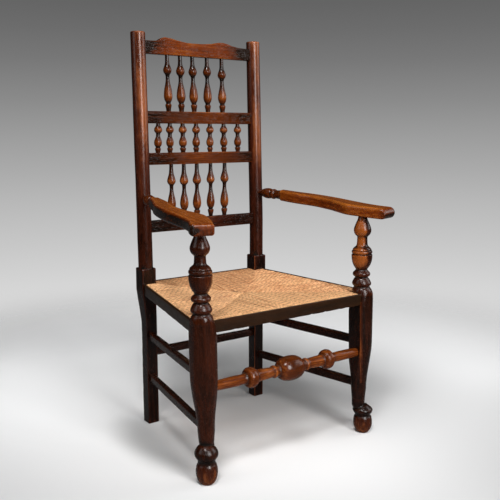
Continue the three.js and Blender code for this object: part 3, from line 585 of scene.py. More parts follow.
def post_rings(side):
    """Rings from the floor up. Below the block's top a ring is a square whose inner and front
    edges stay in line; above it, a circle on the leaning axis."""
    angle, ring = circle(POST_AROUND)
    trim_at, trim = np.array(POST_TRIM).T
    low = np.sort(np.concatenate([trim_at, np.linspace(6, 455, 120), [458]]))
    size = through_marks(low, POST_SIZE)
    inner_x = POST_SPAN / 2 - BLOCK / 2
    middle = np.column_stack([side * (inner_x + size / 2), POST_FRONT + size / 2, low])
    square = square_radius(angle, (size / 2 - np.interp(low, trim_at, trim))[:, None])
    near_top = low > 461
    square[near_top] = np.maximum(square[near_top], POST_LOW_RADIUS)
    shoulder = CHAIR_HEIGHT - TOP_ROUNDING
    turn = np.linspace(0.25, 1, 5) * np.pi / 2
    plain = np.concatenate([[BLOCK_TOP + 0.01, BLOCK_TOP + 2], np.linspace(472, shoulder, 150)])
    high = np.concatenate([plain, shoulder + TOP_ROUNDING * np.sin(turn), [CHAIR_HEIGHT]])
    drawn_in = np.concatenate([0 * plain, TOP_ROUNDING * (1 - np.cos(turn)), [TOP_FLAT]])
    axis = back_point(side * post_x(high), high)
    axis[:, 0] += POST_BOW[side] * ramp(high, BLOCK_TOP, BLOCK_TOP + 110)
    return np.concatenate([middle[:, None] + square[..., None] * ring,
                           axis[:, None] + (post_radius(high) - drawn_in)[:, None, None] * ring])


print("a post has", len(post_rings(1)), "rings of", POST_AROUND, "points")


# %% The wear and painted light of a post, and the two posts
def post_wear_and_light(rings, side):
    """How light a post's tone is: lighter on its front above the arm, in slow waves of the height,
    and a little lighter upwards, which is wear and also painted light for the lamps' sheen high on
    the post; darker on the square part, where only the right post's corner is lighter."""
    height = rings[..., 2]
    # Painted light and wear: the front is lighter where the lamps' sheen falls and where hands rub.
    front = np.clip(-outward(rings)[..., 1], 0, 1) ** 1.5
    above_arm = ramp(height, 590 + 50 * side, 815 - 5 * side)
    corner = hump(circle(POST_AROUND)[0], FRONT_LEFT, 0.05) if side > 0 else 0
    return (0.54 * front * above_arm * (0.75 + 0.25 * np.sin(height / 61 + side)) - 0.16
            + 0.08 * ramp(height, 560, 960) + (0.5 * corner - 0.2) * (height < BLOCK_TOP))


for name, side in SIDES:
    rings = post_rings(side)
    place(f"post_{name}", mesh_from(wood(rings, 0.35, 12, 6, post_wear_and_light(rings, side))), "post_wood_and_sheen",
          f"back_post_{name}")
print("posts", POST_SPAN, "mm apart at the block and", POST_TOP_SPAN, "mm at the top")

# %% [markdown]
# ## The crest and the back rails
# Three plain rails and a crest are tenoned between the posts. The crest's top edge has two low
# humps, sawn by eye, so its outline is a line through measured marks, not a neat curve. Hands
# have worn the crest's middle bright, and its ends stayed dark.

# %% Rails and crest
RAIL_HEIGHT, RAIL_THICK, RAIL_TENON, PIN = 34.0, 18.0, 8.0, 4.0
RAIL_MIDDLES = {"lower": 580.5, "middle": 772.5, "upper": 889.0}
CREST_BOTTOM = 1062.5
BACK_UP = np.array([0, math.sin(POST_LEAN), math.cos(POST_LEAN)])
BACK_OUT = np.array([0, -math.cos(POST_LEAN), math.sin(POST_LEAN)])
CREST_TOP = [(-190, 1097.6), (-176.5, 1098), (-150, 1098.4), (-136, 1100), (-126, 1106), (-113, 1110),
             (-98, 1109), (-72, 1104), (-32, 1099.6), (2, 1099.8), (36, 1102), (60, 1106.5),
             (78, 1108.7), (96, 1106.6), (114, 1102), (143, 1097.6), (165, 1097), (190, 1096.8)]


def along_back(height):
    """Places across the back, from one rail's end to the other, at a height."""
    reach = post_x(height) - RAIL_TENON
    return np.linspace(-reach, reach, 150)


def place_board(name, x, low, high, corner, handled_and_lit, finish, node):
    """A board in the plane of the back, with its edges' heights and its wear at each x."""
    rings = bar(back_point(x, (low + high) / 2), BACK_UP, BACK_OUT, high - low, RAIL_THICK, corner,
                bar_section(5, 5))
    shell = wood(rings, 0.35, 6, 7, handled_and_lit[:, None], ((x[0], 0, 0), (x[-1], 0, 0)))
    place(name, mesh_from(shell), finish, node)


for row, height in RAIL_MIDDLES.items():
    x = along_back(height)
    handled_and_lit = 0.24 * hump(x, 10, 100) - 0.16 * ramp(-x, 60, 150) - 0.1 * ramp(x, 80, 140) - 0.24
    place_board(f"rail_{row}", x, height - RAIL_HEIGHT / 2, height + RAIL_HEIGHT / 2, 2.2, handled_and_lit,
                "dark_wood" if row == "lower" else "turned_wood", f"back_rail_{row}")
x = along_back(CREST_BOTTOM)
place_board("crest", x, CREST_BOTTOM, through_marks(x, CREST_TOP), 2.6,
            0.68 * np.exp(-((x + 8) / 142) ** 6) - 0.7, "worn_wood", "crest_rail")
print("rails at", RAIL_MIDDLES, "and the crest from", CREST_BOTTOM)

# %% [markdown]
# ## The spindles
# Seventeen spindles, turned to three patterns: a foot with a small collar, a long vase, a neck,
# and a ball under the upper pin. They were set by eye, so their spacing is a little uneven.
# One loop turns them all, and gives each a fullness of its own, where copies of one spindle
# would look like a row of castings.

# %% Patterns of the spindles
# A pattern's marks are shares of the spindle's length and of the row's radius, from the foot up.
LONG_TOP = [(0, .58), (.05, .64), (.09, .76), (.118, .8), (.14, .58), (.165, .64), (.2, .89), (.27, 1.08),
            (.38, .93), (.48, .64), (.55, .5), (.6, .47), (.635, .53), (.655, .66), (.68, .9), (.725, 1.05),
            (.77, .9), (.82, .64), (.88, .51), (1, .48)]
LONG_LOW = [(0, .52), (.05, .6), (.09, .74), (.12, .78), (.14, .55), (.16, .62), (.2, .9), (.27, 1.05),
            (.37, .88), (.47, .57), (.55, .46), (.6, .49), (.622, .6), (.645, .88), (.69, 1.06),
            (.75, .9), (.83, .6), (.91, .5), (1, .47)]
SHORT = [(0, .6), (.05, .66), (.1, .78), (.14, .82), (.175, .6), (.2, .66), (.27, .98), (.36, 1.06),
         (.47, .82), (.57, .57), (.64, .56), (.68, .72), (.72, .98), (.775, 1.1), (.84, .98),
         (.9, .68), (.95, .56), (1, .55)]
print("marks of the patterns:", len(LONG_TOP), len(LONG_LOW), len(SHORT))

# %% The rows of spindles
# Where each foot and head stands, as shares of the way from the middle to a post.
LONG_PLACES = [(-0.602, -0.602), (-0.357, -0.359), (-0.11, -0.126), (0.162, 0.162), (0.459, 0.459)]
SHORT_PLACES = [(-0.826, -0.802), (-0.599, -0.587), (-0.35, -0.345), (-0.093, -0.083),
                (0.183, 0.193), (0.469, 0.473), (0.761, 0.765)]
LOW_PLACES = [(-0.601, -0.585), (-0.36, -0.344), (-0.111, -0.09), (0.164, 0.186), (0.445, 0.476)]
# Each row's rails, its places, pattern and radius, and how far each spindle's beads slip up.
ROWS = {"top": ("upper", "crest", LONG_PLACES, LONG_TOP, 11.8, (.01, 0, 0, .012, -.025)),
        "middle": ("middle", "upper", SHORT_PLACES, SHORT, 10.6, (0,) * 7),
        "lower": ("lower", "middle", LOW_PLACES, LONG_LOW, 11.8, (.006, 0, 0, .006, .012))}
for row, (low_name, high_name, places, pattern, radius, slips) in ROWS.items():
    foot_z = RAIL_MIDDLES[low_name] + RAIL_HEIGHT / 2
    head_z = CREST_BOTTOM if high_name == "crest" else RAIL_MIDDLES[high_name] - RAIL_HEIGHT / 2
    clear = post_x((foot_z + head_z) / 2) - post_radius((foot_z + head_z) / 2)
    for number, (shares, slip) in enumerate(zip(places, slips), 1):
        foot, head = (back_point(share * clear, z) for share, z in zip(shares, (foot_z, head_z)))
        length = np.linalg.norm(head - foot)
        fuller = 1 + dice.normal(0, 0.02)
        marks = [(-PIN, pattern[0][1] * radius)] + [
            ((s + slip * (.3 < s < .9)) * length, r * radius * fuller)
            for s, r in pattern] + [(length + PIN, pattern[-1][1] * radius)]
        rings = turned(foot, head, marks, 40, 1.2)
        at = np.linalg.norm(rings.mean(1) - foot, axis=1)[:, None] / length
        thin = 1 - through_marks(at * length, marks) / radius
        handled_and_lit = 0.02 - 0.8 * thin - (0.24 * hump(at, 0.73, 0.1) if row == "top" else 0)
        place(f"spindle_{row}_{number}_turned", mesh_from(wood(rings, 0.08, 24, 2, handled_and_lit, (foot, head))),
              "turned_wood", f"spindle_{row}_{number}")
print("spindles:", {row: len(values[2]) for row, values in ROWS.items()})

# %% [markdown]
# ## The front legs and arm supports
# The piece that takes the most skill. The turner centres a square blank on its true axis for
# the arm support and for the pad and ball at the foot. Then the blank is set off its centre at
# the foot and turned again: the outer front corner falls away, while the inner back corner stays
# nearly straight. Seen from the true axis, the radius in a direction is the least of three: the
# square blank, the true turning, and the distance to the offset circle. Booleans could cut the
# same form from three solids, but would leave slivers where the real edges are soft.

# %% Patterns of the leg
# Heights and radii. SUPPORT is turned about the true axis, OFFSET_TURNING about the second one.
LEG_SPAN, BLANK, SQUARE_TOP, LEG_AROUND = 527.0, 55.8, 355, 128
LEG_LEAN = math.atan2(17.3, 582.0)
SUPPORT = [(0, 60), (355, 60), (357, 38.5), (370.4, 35.2), (384, 32.9), (393, 31.6), (402, 30),
           (412, 27.6), (417, 25.6), (421, 22.8), (423.5, 21.6), (425.5, 22.2), (428, 24.6), (430.5, 26.1),
           (433.5, 26.4), (437, 25.3), (440.5, 23.8), (442.5, 22.6), (445, 21.3), (448, 19), (450, 17.6),
           (451.6, 18.6), (453.6, 21.4), (456.2, 23.7), (459.5, 24.2), (462.6, 23.4), (465.5, 20.8),
           (468.5, 17.9), (471.5, 15.8), (475, 17.4), (479, 20.3), (484.7, 23.5), (490.4, 25.7),
           (496, 27.2), (501.7, 28.1), (507.5, 28.6), (513, 28.7), (514.6, 27.4), (516, 25.2), (517.4, 27.2),
           (520.5, 28.4), (523.6, 28.1), (525.5, 26.8), (526.8, 25.4), (528.2, 25.9), (530, 25), (533, 22.6),
           (535.6, 19.8), (538, 17), (541, 15.3), (546, 14.6), (552, 14.3), (558, 14), (562, 14.1),
           (564.5, 15.4), (567, 18), (570.4, 20.8), (575.3, 23), (580.5, 24), (585.5, 23.7), (591, 22),
           (597.5, 19.6), (604, 16.8), (611, 13.9), (619, 12.1), (632, 11.5)]
OFFSET_TURNING = [(60, 11.5), (67, 13.5), (81, 18.2), (98, 18.4), (106, 19.2), (116, 20.1), (131, 21.3),
                  (146, 21.7), (155, 22.3), (170, 23.7), (185, 25.6), (198, 27.5), (212, 29.5), (224, 31),
                  (240, 33), (265, 34.5), (290, 34.5), (400, 34.5), (420, 37), (440, 60), (700, 60)]
OFFSET_AXIS_TOP, ANKLE_HEIGHT, ANKLE_OFFSET = 640.0, 98.0, 11.6
# The ball and pad of the left foot, under -1, and of the right one, under 1.
FEET = {-1: [(0, 15.5), (1.2, 17), (2.8, 18.4), (10.2, 23), (17.7, 25.3), (25, 26.9), (32.6, 27.3),
             (40, 26.5), (47.4, 24.6), (51.5, 22.4), (54.5, 21.6), (58, 21.6), (62.3, 23), (66, 26),
             (70, 28.2), (75.5, 29.3), (80, 28.8), (84.6, 27), (89, 24), (92.1, 21.5), (96, 17), (99, 12)],
        1: [(0, 14.5), (1.2, 15.8), (4, 17.8), (9.8, 21.8), (15.6, 24.2), (21.5, 26), (28, 26.6),
            (35, 26.4), (40, 25.7), (45, 24.6), (48.5, 22.4), (51, 21.4), (54, 22), (56.5, 23.8), (62, 27.2),
            (65.5, 28.4), (69, 27.2), (72.7, 24), (76, 20), (79.3, 16), (82, 12)]}
# How much higher each support's beads sit than the pattern, by height.
HIGHER = {-1: [(500, 0), (530, 2.5), (546, 1.5), (558, -1), (572, -2.2), (600, -3.2), (640, -3.4)],
          1: [(500, 0), (534, -1.2), (546, -0.2), (570, -0.8), (640, -0.8)]}
# How far the corner towards the front left is rounded off.
ROUNDED = {-1: 3.6, 1: 0.0}
# The supports and feet stand off the blank's middle: the height and the distance towards +X.
ASTRAY = {-1: [(0, 1.3), (85, 1), (100, -0.8), (140, -0.6), (224, -1.3), (300, -1.5), (384, -1), (450, -2.4),
               (540, -2.2), (582, -1.7), (632, -1.2)],
          1: [(0, 2), (60, 1.8), (85, 0.8), (300, 0), (384, -0.4), (430, -3.9), (460, -4.7), (500, -3.2),
              (545, -2.2), (582, -1), (632, -0.6)]}
print("an arm support is turned to", len(SUPPORT), "marks")


# %% Rings of a leg
def leg_rings(side):
    """Rings on the leaning axis. In each direction a, the radius is the least of the square, the
    turning t(z) and c + sqrt(R(z)^2 - d^2 + c^2), where d is the offset axis's distance and c
    its part in that direction; below the ankle the pad and ball replace it where they are wider."""
    z = np.unique(np.concatenate([
        np.linspace(0, 100, 74), np.linspace(100, SQUARE_TOP, 90), np.linspace(SQUARE_TOP, 626, 230),
        [mark[0] for mark in SUPPORT if SQUARE_TOP <= mark[0] < 627],
        [mark[0] for mark in FEET[side]]]))
    angle, ring = circle(LEG_AROUND)
    heel = np.array([-side, 1]) * ANKLE_OFFSET / math.sqrt(2)
    centre = heel * ((OFFSET_AXIS_TOP - z) / (OFFSET_AXIS_TOP - ANKLE_HEIGHT))[:, None]
    toward = centre[:, :1] * ring[:, 0] + centre[:, 1:] * ring[:, 1]
    apart = np.sum(centre ** 2, axis=1)[:, None]
    offset = through_marks(z, OFFSET_TURNING)[:, None]
    offset_reach = toward + np.sqrt(np.maximum(offset ** 2 - apart + toward ** 2, 0))
    blank = square_radius(angle, BLANK / 2, np.interp(z, [345, 375], [26.0, 4.5])[:, None])
    true = through_marks(z - through_marks(z, HIGHER[side]), SUPPORT)[:, None]
    rounded = through_marks(z, [(90, 0), (170, ROUNDED[side]), (395, ROUNDED[side]), (420, 0)])
    body = np.minimum(np.minimum(blank, true), offset_reach)
    body = body - rounded[:, None] * hump(angle, FRONT_LEFT, 0.45)
    foot = np.where(z < FEET[side][-1][0], through_marks(z, FEET[side]), 0)[:, None]
    radius = np.maximum(np.where(z[:, None] < 62, 0, body), foot)
    x = side * LEG_SPAN / 2 + through_marks(z, ASTRAY[side])
    middle = np.column_stack([x, z * math.tan(LEG_LEAN), z])
    return middle[:, None] + radius[..., None] * ring


print("a leg has", len(leg_rings(1)), "rings of", LEG_AROUND, "points")

# %% The wear of a leg, and the two legs
# The side of each support that hands rub: how much a normal's x and y count, and a start. Then
# how much it gains there, what the rest of the support loses, and what the square part loses.
RUBBED_SIDE = {-1: (0.85, -0.5, 0.1), 1: (-2.275, -1.025, -1.125)}
LEG_WEAR = {-1: (0.14, 0.06, 0.08), 1: (0.95, 0.16, 0.22)}
FOOT_WEAR = [(0, 0.22), (30, 0.14), (48, -0.05), (60, -0.32), (90, -0.26), (104, 0)]
# The pale line down the right leg's front left corner: the angle as a share of pi.
CORNER_LINE = [(1.165, 0), (1.19, 0.5), (1.215, 0.24), (1.25, 0.24), (1.27, 0)]


def leg_wear(rings, side):
    """How much a leg is rubbed: on one side of its support, less around it, and in bands of
    the height at its foot."""
    height, facing = rings[..., 2], outward(rings)
    x_share, y_share, start = RUBBED_SIDE[side]
    gain, loss, square_loss = LEG_WEAR[side]
    inner = np.clip(facing[..., 0] * x_share + facing[..., 1] * y_share + start, 0, 1)
    turned_part = ramp(height, 470, 500) * np.clip((640 - height) / 60, 0.35, 1)
    wear = (gain * inner - loss * (1 - inner)) * turned_part + np.interp(height, *np.array(FOOT_WEAR).T)
    line = np.interp(circle(LEG_AROUND)[0] / np.pi, *np.array(CORNER_LINE).T) if side > 0 else 0
    return (wear - square_loss * (height > 100) * (height < 400)
            + line * (height > 150) * (height < 385))


for name, side in SIDES:
    rings = leg_rings(side)
    place(f"leg_and_support_{name}", mesh_from(wood(rings, 0.08, 16, 4, leg_wear(rings, side))),
          "dark_wood", f"front_leg_{name}")
print("front legs", LEG_SPAN, "mm apart on", BLANK, "mm blanks")

# %% [markdown]
# ## The arms
# A flat board, cut to two flowing edges in plan, wide over the support and narrow behind. Its
# rear end is turned to a bulb and a collar and enters the post. The board's section is a rounded
# rectangle between the two edges, and its front end is rounded like a worn nose. A plain board
# bent along a curve would keep one width, so the rings span the two edges instead.

# %% The plan of an arm
# Shares of the arm's length from its front, and of its reach from the chair's middle.
ARM_FRONT, ARM_LENGTH, ARM_REACH = -57.0, 382.0, LEG_SPAN / 2 + 62.5
ARM_REAR = ARM_FRONT + ARM_LENGTH
INNER_EDGE = [(0, .831), (.05, .804), (.113, .764), (.202, .724), (.293, .695), (.398, .709),
              (.49, .724), (.594, .721), (.673, .708), (.764, .675), (.856, .649), (.98, .63)]
OUTER_EDGE = [(.037, 1), (.081, .985), (.134, .951), (.215, .923), (.301, .908), (.398, .9),
              (.49, .893), (.583, .877), (.673, .857), (.778, .819), (.856, .776), (1.02, .706)]
# Shares of the bulb's length and of its radius.
BULB = [(0, .42), (.05, .46), (.08, .52), (.18, .73), (.3, .92), (.43, 1), (.5, .96), (.55, .88), (.59, .74),
        (.605, .72), (.625, .88), (.65, .94), (.68, .96), (.71, .94), (.735, .88), (.755, .73), (.775, .73),
        (.85, .8), (1, .85), (1.12, .86)]
BULB_RADIUS = 16.0
# The nose of each arm: the board's thickness there, how far its thickness and its width are
# rounded, and how much darker its tip is.
NOSE = {-1: (27.0, 4.5, 6.0, 0.16), 1: (30.0, 14.0, 4.0, 0.45)}
REAR_THICKNESS = 31.5


def arm_top(y):
    """The height of the arm's top, which rises evenly to the back."""
    return 644.0 + 30.5 * (y - ARM_FRONT) / ARM_LENGTH


def arm_thickness(side, y):
    """The board's thickness, which changes evenly from the nose to the rear."""
    return NOSE[side][0] + (REAR_THICKNESS - NOSE[side][0]) * (y - ARM_FRONT) / ARM_LENGTH


print("the noses of the arms are", [NOSE[side][0] for _, side in SIDES], "mm thick")


# %% The boards and their turned ends
def arm_board(side):
    """Stations run from the nose to the rear. Each spans the inner and the outer edge."""
    count = len(INNER_EDGE) - 1
    t = np.unique(np.concatenate([np.linspace(0, 0.5, 14) ** 2, np.linspace(0.25, count, 150),
                                  [count - 0.02, count - 0.005]]))
    edges = []
    for table in (INNER_EDGE, OUTER_EDGE):
        along, across = (through_marks(t, list(enumerate(column))) for column in np.array(table).T)
        edges.append(np.column_stack([side * ARM_REACH * across, ARM_FRONT + ARM_LENGTH * along, 0 * t]))
    inner, outer = edges
    middle = (inner + outer) / 2
    thick = arm_thickness(side, middle[:, 1])
    middle[:, 2] = arm_top(middle[:, 1]) - thick / 2
    tilt = np.column_stack([0 * t, 0 * t, arm_top(outer[:, 1]) - arm_top(inner[:, 1])])
    travel = np.concatenate([[0], np.cumsum(np.linalg.norm(np.diff(middle, axis=0), axis=1))])
    rear = rounded_end(travel[-1] - travel, 4.0)
    _, nose_thick, nose_wide, darker = NOSE[side]
    thick = thick - 2 * rounded_end(travel, nose_thick) - 2 * rear
    width = np.linalg.norm(outer - inner, axis=1) - 2 * rounded_end(travel, nose_wide) - 2 * rear
    section = bar_section(7, 7)
    rings = bar(middle, unit(outer - inner + tilt), np.array([0, 0, 1.0]), width, thick,
                np.minimum(7.0, thick / 2 - 0.5), section)
    handled_and_lit = 0.04 + 0.16 * section[:, 3] - 0.6 * np.clip(section[:, 2], 0, 1)
    return wood(rings, 0.5, 8, 8, handled_and_lit - darker * hump(travel, 0, 12)[:, None],
                ((side * 250, ARM_FRONT, 640), (side * 215, ARM_REAR, 660)))


def arm_bulb(side):
    """The turned end, from the post's face to inside the board."""
    y = ARM_FRONT + ARM_LENGTH * (INNER_EDGE[-1][0] + OUTER_EDGE[-1][0]) / 2
    x = side * ARM_REACH * (INNER_EDGE[-1][1] + OUTER_EDGE[-1][1]) / 2
    board_end = np.array([x, y, arm_top(y) - arm_thickness(side, y) / 2])
    height = board_end[2] + 5.0
    joint = back_point(side * post_x(height), height)
    start = joint + unit(board_end - joint) * post_radius(height)
    length = np.linalg.norm(board_end - start)
    marks = [(-PIN, BULB[0][1] * BULB_RADIUS)] + [(s * length, r * BULB_RADIUS) for s, r in BULB]
    return wood(turned(start, board_end, marks, 48, 1.0), 0.04, 18, 2, -0.28, (board_end, start))


for name, side in SIDES:
    place(f"arm_and_bulb_{name}", mesh_from(arm_board(side), arm_bulb(side)), "worn_wood", f"arm_{name}")
print("arm boards", ARM_LENGTH, "mm long, tops at", arm_top(ARM_FRONT), "to", arm_top(ARM_REAR))

# %% [markdown]
# ## The stretchers
# The front one is the show piece: a large ball between two smaller ones, turned like a spindle.
# The others are plain bars with softened edges, two on each side and one at the back.

# %% The front stretcher
# Shares of the way from the middle to a leg, and of the ball's radius.
STRETCHER = [(0, 1), (.05, .978), (.095, .9), (.13, .77), (.152, .6), (.165, .475), (.18, .435), (.2, .43),
             (.211, .48), (.222, .51), (.235, .5), (.246, .43), (.26, .42), (.34, .45), (.42, .475),
             (.455, .49), (.468, .52), (.485, .66), (.51, .78), (.54, .82), (.57, .78), (.592, .65),
             (.606, .47), (.618, .43), (.64, .4), (.75, .42), (.9, .4), (1, .37), (1.05, .37)]
BALL_RADIUS, STRETCHER_HEIGHT = 32.5, 239.0
half = (LEG_SPAN - BLANK) / 2
one_side = [(s * half, r * BALL_RADIUS) for s, r in STRETCHER]
level_y = STRETCHER_HEIGHT * math.tan(LEG_LEAN)
rings = turned((0, level_y, STRETCHER_HEIGHT), (1, level_y, STRETCHER_HEIGHT),
               [(-s, r) for s, r in one_side[:0:-1]] + one_side, 64, 1.2)
off_middle = np.abs(rings.mean(1)[:, :1])
handled_and_lit = 0.06 - 0.3 * hump(off_middle, 0, 38) - 0.2 * hump(off_middle, 0.54 * half, 18)
place("stretcher_with_balls", mesh_from(wood(rings, 0.1, 24, 3, handled_and_lit, ((-half, 0, 0), (half, 0, 0)))),
      "turned_wood", "stretcher_front")
print("the ball of the front stretcher is", 2 * BALL_RADIUS, "mm across")

# %% The plain stretchers
POST_LEG_Y = POST_FRONT + FOOT / 2
POST_LEG_X = POST_SPAN / 2 - BLOCK / 2 + FOOT / 2
PLAIN_HEIGHT, PLAIN_THICK = 23.5, 17.0


def place_plain(name, start, end, node):
    """A bar from start to end, whose section swells by a twentieth towards its middle."""
    across, up, _ = axes_along(start, end)
    t = np.linspace(0, 1, 90)[:, None]
    swell = 1 + 0.05 * np.sin(np.pi * t[:, 0]) - 0.03
    rings = bar(start + t * (end - start), up, across, PLAIN_HEIGHT * swell, PLAIN_THICK * swell, 5.0,
                bar_section(3, 7))
    place(name, mesh_from(wood(rings, 0.5, 5, 6, -0.22, (start, end))), "dark_wood", node)


behind = np.array([POST_LEG_X - 8, POST_LEG_Y, 213])
place_plain("stretcher_behind", behind * (-1, 1, 1), behind, "stretcher_back")
for name, side in SIDES:
    for level, height in (("upper", 266.0), ("lower", 141.0)):
        front = np.array([side * LEG_SPAN / 2, height * math.tan(LEG_LEAN), height])
        rear = np.array([side * POST_LEG_X, POST_LEG_Y, height])
        inward = unit(rear - front)
        place_plain(f"side_stretcher_{level}_{name}", front + 12 * inward, rear - 9 * inward,
                    f"stretcher_{level}_{name}")
print("five plain stretchers of", PLAIN_HEIGHT, "by", PLAIN_THICK, "mm")

# %% [markdown]
# ## The seat's frame
# Four rails carry the rush and stay hidden inside it. The seat rises to the back and narrows,
# so its lines come from one function of the depth. Thin strips, nailed on, cover the edges of
# the rush; their lower edges are chipped by two centuries of knees and brooms.

# %% Lines of the seat
SEAT_FRONT_TOP, SEAT_RISE = 407.0, 13.5
SEAT_FRONT_Y, SEAT_BACK_Y = -8.0, 440.0
STRIP_HIGH, STRIP_THICK = 31.0, 7.0
SIDE_FRONT_Y = SEAT_FRONT_TOP * math.tan(LEG_LEAN) + BLANK / 2
SIDE_FRONT_X = LEG_SPAN / 2 + BLANK / 2 - 4
SIDE_BACK_X = POST_SPAN / 2 + BLOCK / 2 - 3.5
SIDE_SLOPE = (SIDE_BACK_X - SIDE_FRONT_X) / (POST_FRONT - SIDE_FRONT_Y)


def seat_top(y):
    """The height of the strips' top edge."""
    return SEAT_FRONT_TOP + (y - SEAT_FRONT_Y) * SEAT_RISE / (SEAT_BACK_Y - SEAT_FRONT_Y)


def side_x(y, inward=0.0):
    """Half the seat's width at y, less a distance inward from the strip's outer face."""
    wide = SIDE_FRONT_X + (np.maximum(y, SIDE_FRONT_Y) - SIDE_FRONT_Y) * SIDE_SLOPE
    return wide - inward / math.cos(math.atan(SIDE_SLOPE))


print("the seat is", 2 * SIDE_FRONT_X, "mm wide in front and", 2 * SIDE_BACK_X, "mm behind")


# %% The strips, with chipped lower edges
def strip_shell(start, end, nicks):
    """A thin board on edge. Its lower edge rises at each chip by a bell curve of the distance
    along the strip, and waves a little everywhere."""
    start, end = np.asarray(start, float), np.asarray(end, float)
    length = np.linalg.norm(end - start)
    t = np.linspace(0, 1, int(length / 2))[:, None]
    s = t[:, 0] * length
    lift = sum(depth * hump(s, spot, wide) for spot, wide, depth in nicks)
    lift = lift + 0.25 * np.sin(s / 23.0) * np.sin(s / 9.1)
    middle = start + t * (end - start)
    middle[:, 2] += lift / 2
    rings = bar(middle, np.array([0, 0, 1.0]), axes_along(start, end)[0], STRIP_HIGH - lift, STRIP_THICK,
                1.8, bar_section(4, 4))
    return wood(rings, 0.3, 3, 5, ends=(start, end))


def chips(spots):
    """Chips at given places, each 3 to 7 mm wide and up to 1.6 mm deep."""
    return [(s, dice.uniform(3, 7), dice.uniform(0.5, 1.6)) for s in spots]


down, edge = STRIP_HIGH / 2, STRIP_THICK / 2
strips = {}
for name, reach, y, inward, spots in (("front", 244, SEAT_FRONT_Y, edge, [62, 130, 305, 352, 402, 428]),
                                      ("back", 182, SEAT_BACK_Y, -edge, [80, 215, 300])):
    ends = [(x, y + inward, seat_top(y) - down) for x in (-reach, reach)]
    strips[name] = (*ends, chips(spots))
for name, side in SIDES:
    ends = [(side * side_x(y, edge), y, seat_top(y) - down) for y in (SIDE_FRONT_Y - 8, POST_FRONT + 8)]
    strips[name] = (*ends, chips([55, 190, 300]))
for name, strip in strips.items():
    place(f"strip_{name}", mesh_from(strip_shell(*strip)), "black_wood", f"edge_strip_{name}")
print("strips of", STRIP_HIGH, "by", STRIP_THICK, "mm; the seat rises", SEAT_RISE, "mm to the back")

# %% The rails inside the rush keep their CAD solids, in a wood finish
tree, shader = new_material("hidden_wood")
where = add_node(tree, "ShaderNodeTexCoord").outputs["Object"]
streaks = noise(where, (60, 60, 400), 3.0)
fill(shader, {"Base Color": mixed(streaks, srgb(70, 42, 22), srgb(120, 78, 42)), "Roughness": 0.6})
for name in ("front", "back", "left", "right"):
    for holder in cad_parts[f"seat_rail_{name}"].material_slots:
        holder.material = finishes["hidden_wood"]
print("the hidden rails have their wood")

# %% [markdown]
# ## The rush seat
# Rush is twisted by hand as the seat is wound: over a rail, down inside, up through the middle,
# over the next rail. On top that leaves four triangles of strands, each at right angles to its
# rail, which meet on lines from the corners to the middle. A weave drawn on a cushion would look
# flat at the rails, so each strand here is a closed tube that starts under the meeting line,
# runs out over the rail, down behind the strip and back below.
# A pad under the strands, like the scraps that are stuffed in, closes what little shows between;
# its dark browns are painted shade for the gaps.

# %% The shape of the seat's top
RUSH_INSET = STRIP_THICK + 0.3
RUSH_FRONT, RUSH_BACK = SEAT_FRONT_Y + RUSH_INSET, SEAT_BACK_Y - RUSH_INSET
RUSH_DIP, RUSH_VALLEY, SAT_IN_DIP = 6.0, 2.5, 2.5


def rush_half_width(y):
    """Half the rush's width between the side strips."""
    return side_x(y, RUSH_INSET)


def sat_in(x, y):
    """The hollow that sitters have pressed into the front left of the seat, 0 to 1."""
    return hump(x, -128, 78) * hump(y, 118, 62)


def rush_top(x, y):
    """The seat's top: level with the strips at the edge, sunk smoothly to the middle, with a
    soft groove where two triangles meet, the hollow of the sitters, and slow rolls."""
    back_share = np.clip((y - RUSH_FRONT) / (RUSH_BACK - RUSH_FRONT), 0, 1)
    side_depth = 1 - np.minimum(np.abs(x) / rush_half_width(y), 1)
    end_depth = 2 * np.minimum(back_share, 1 - back_share)
    depth = np.minimum(side_depth, end_depth)
    groove = RUSH_VALLEY * hump(side_depth - end_depth, 0, 0.12) * np.sqrt(depth)
    sunk = RUSH_DIP * depth * depth * (3 - 2 * depth) + groove + SAT_IN_DIP * sat_in(x, y)
    rolls = 0.9 * np.sin(x / 31 + 1.7 * np.sin(y / 47)) * np.sin(y / 27 + 1.3 * np.sin(x / 53))
    return seat_top(y) - 0.2 - sunk + rolls * np.minimum(8 * depth, 1)


def meeting_line(start_y, end_y):
    """Points from a corner of the rush, at the first y, to its middle, half way to the other."""
    share = np.linspace(0, 1, 200)
    y = start_y + (end_y - start_y) * share / 2
    return np.column_stack([(1 - share) * rush_half_width(y), y])


meeting_front, meeting_back = meeting_line(RUSH_FRONT, RUSH_BACK), meeting_line(RUSH_BACK, RUSH_FRONT)
print("the meeting lines reach the middle at y =", round(meeting_front[-1, 1], 1))

# %% The path of a strand
STRAND_PITCH, STRAND_RADIUS, STRAND_AROUND = 4.8, 2.8, 6
# Shares of a strand's way from the rail to the meeting line, and how far in its roll begins.
TOP_SHARES = np.array([1.0, 0.965, 0.86, 0.66, 0.44, 0.2, 0.0])
ROLL = 6.5


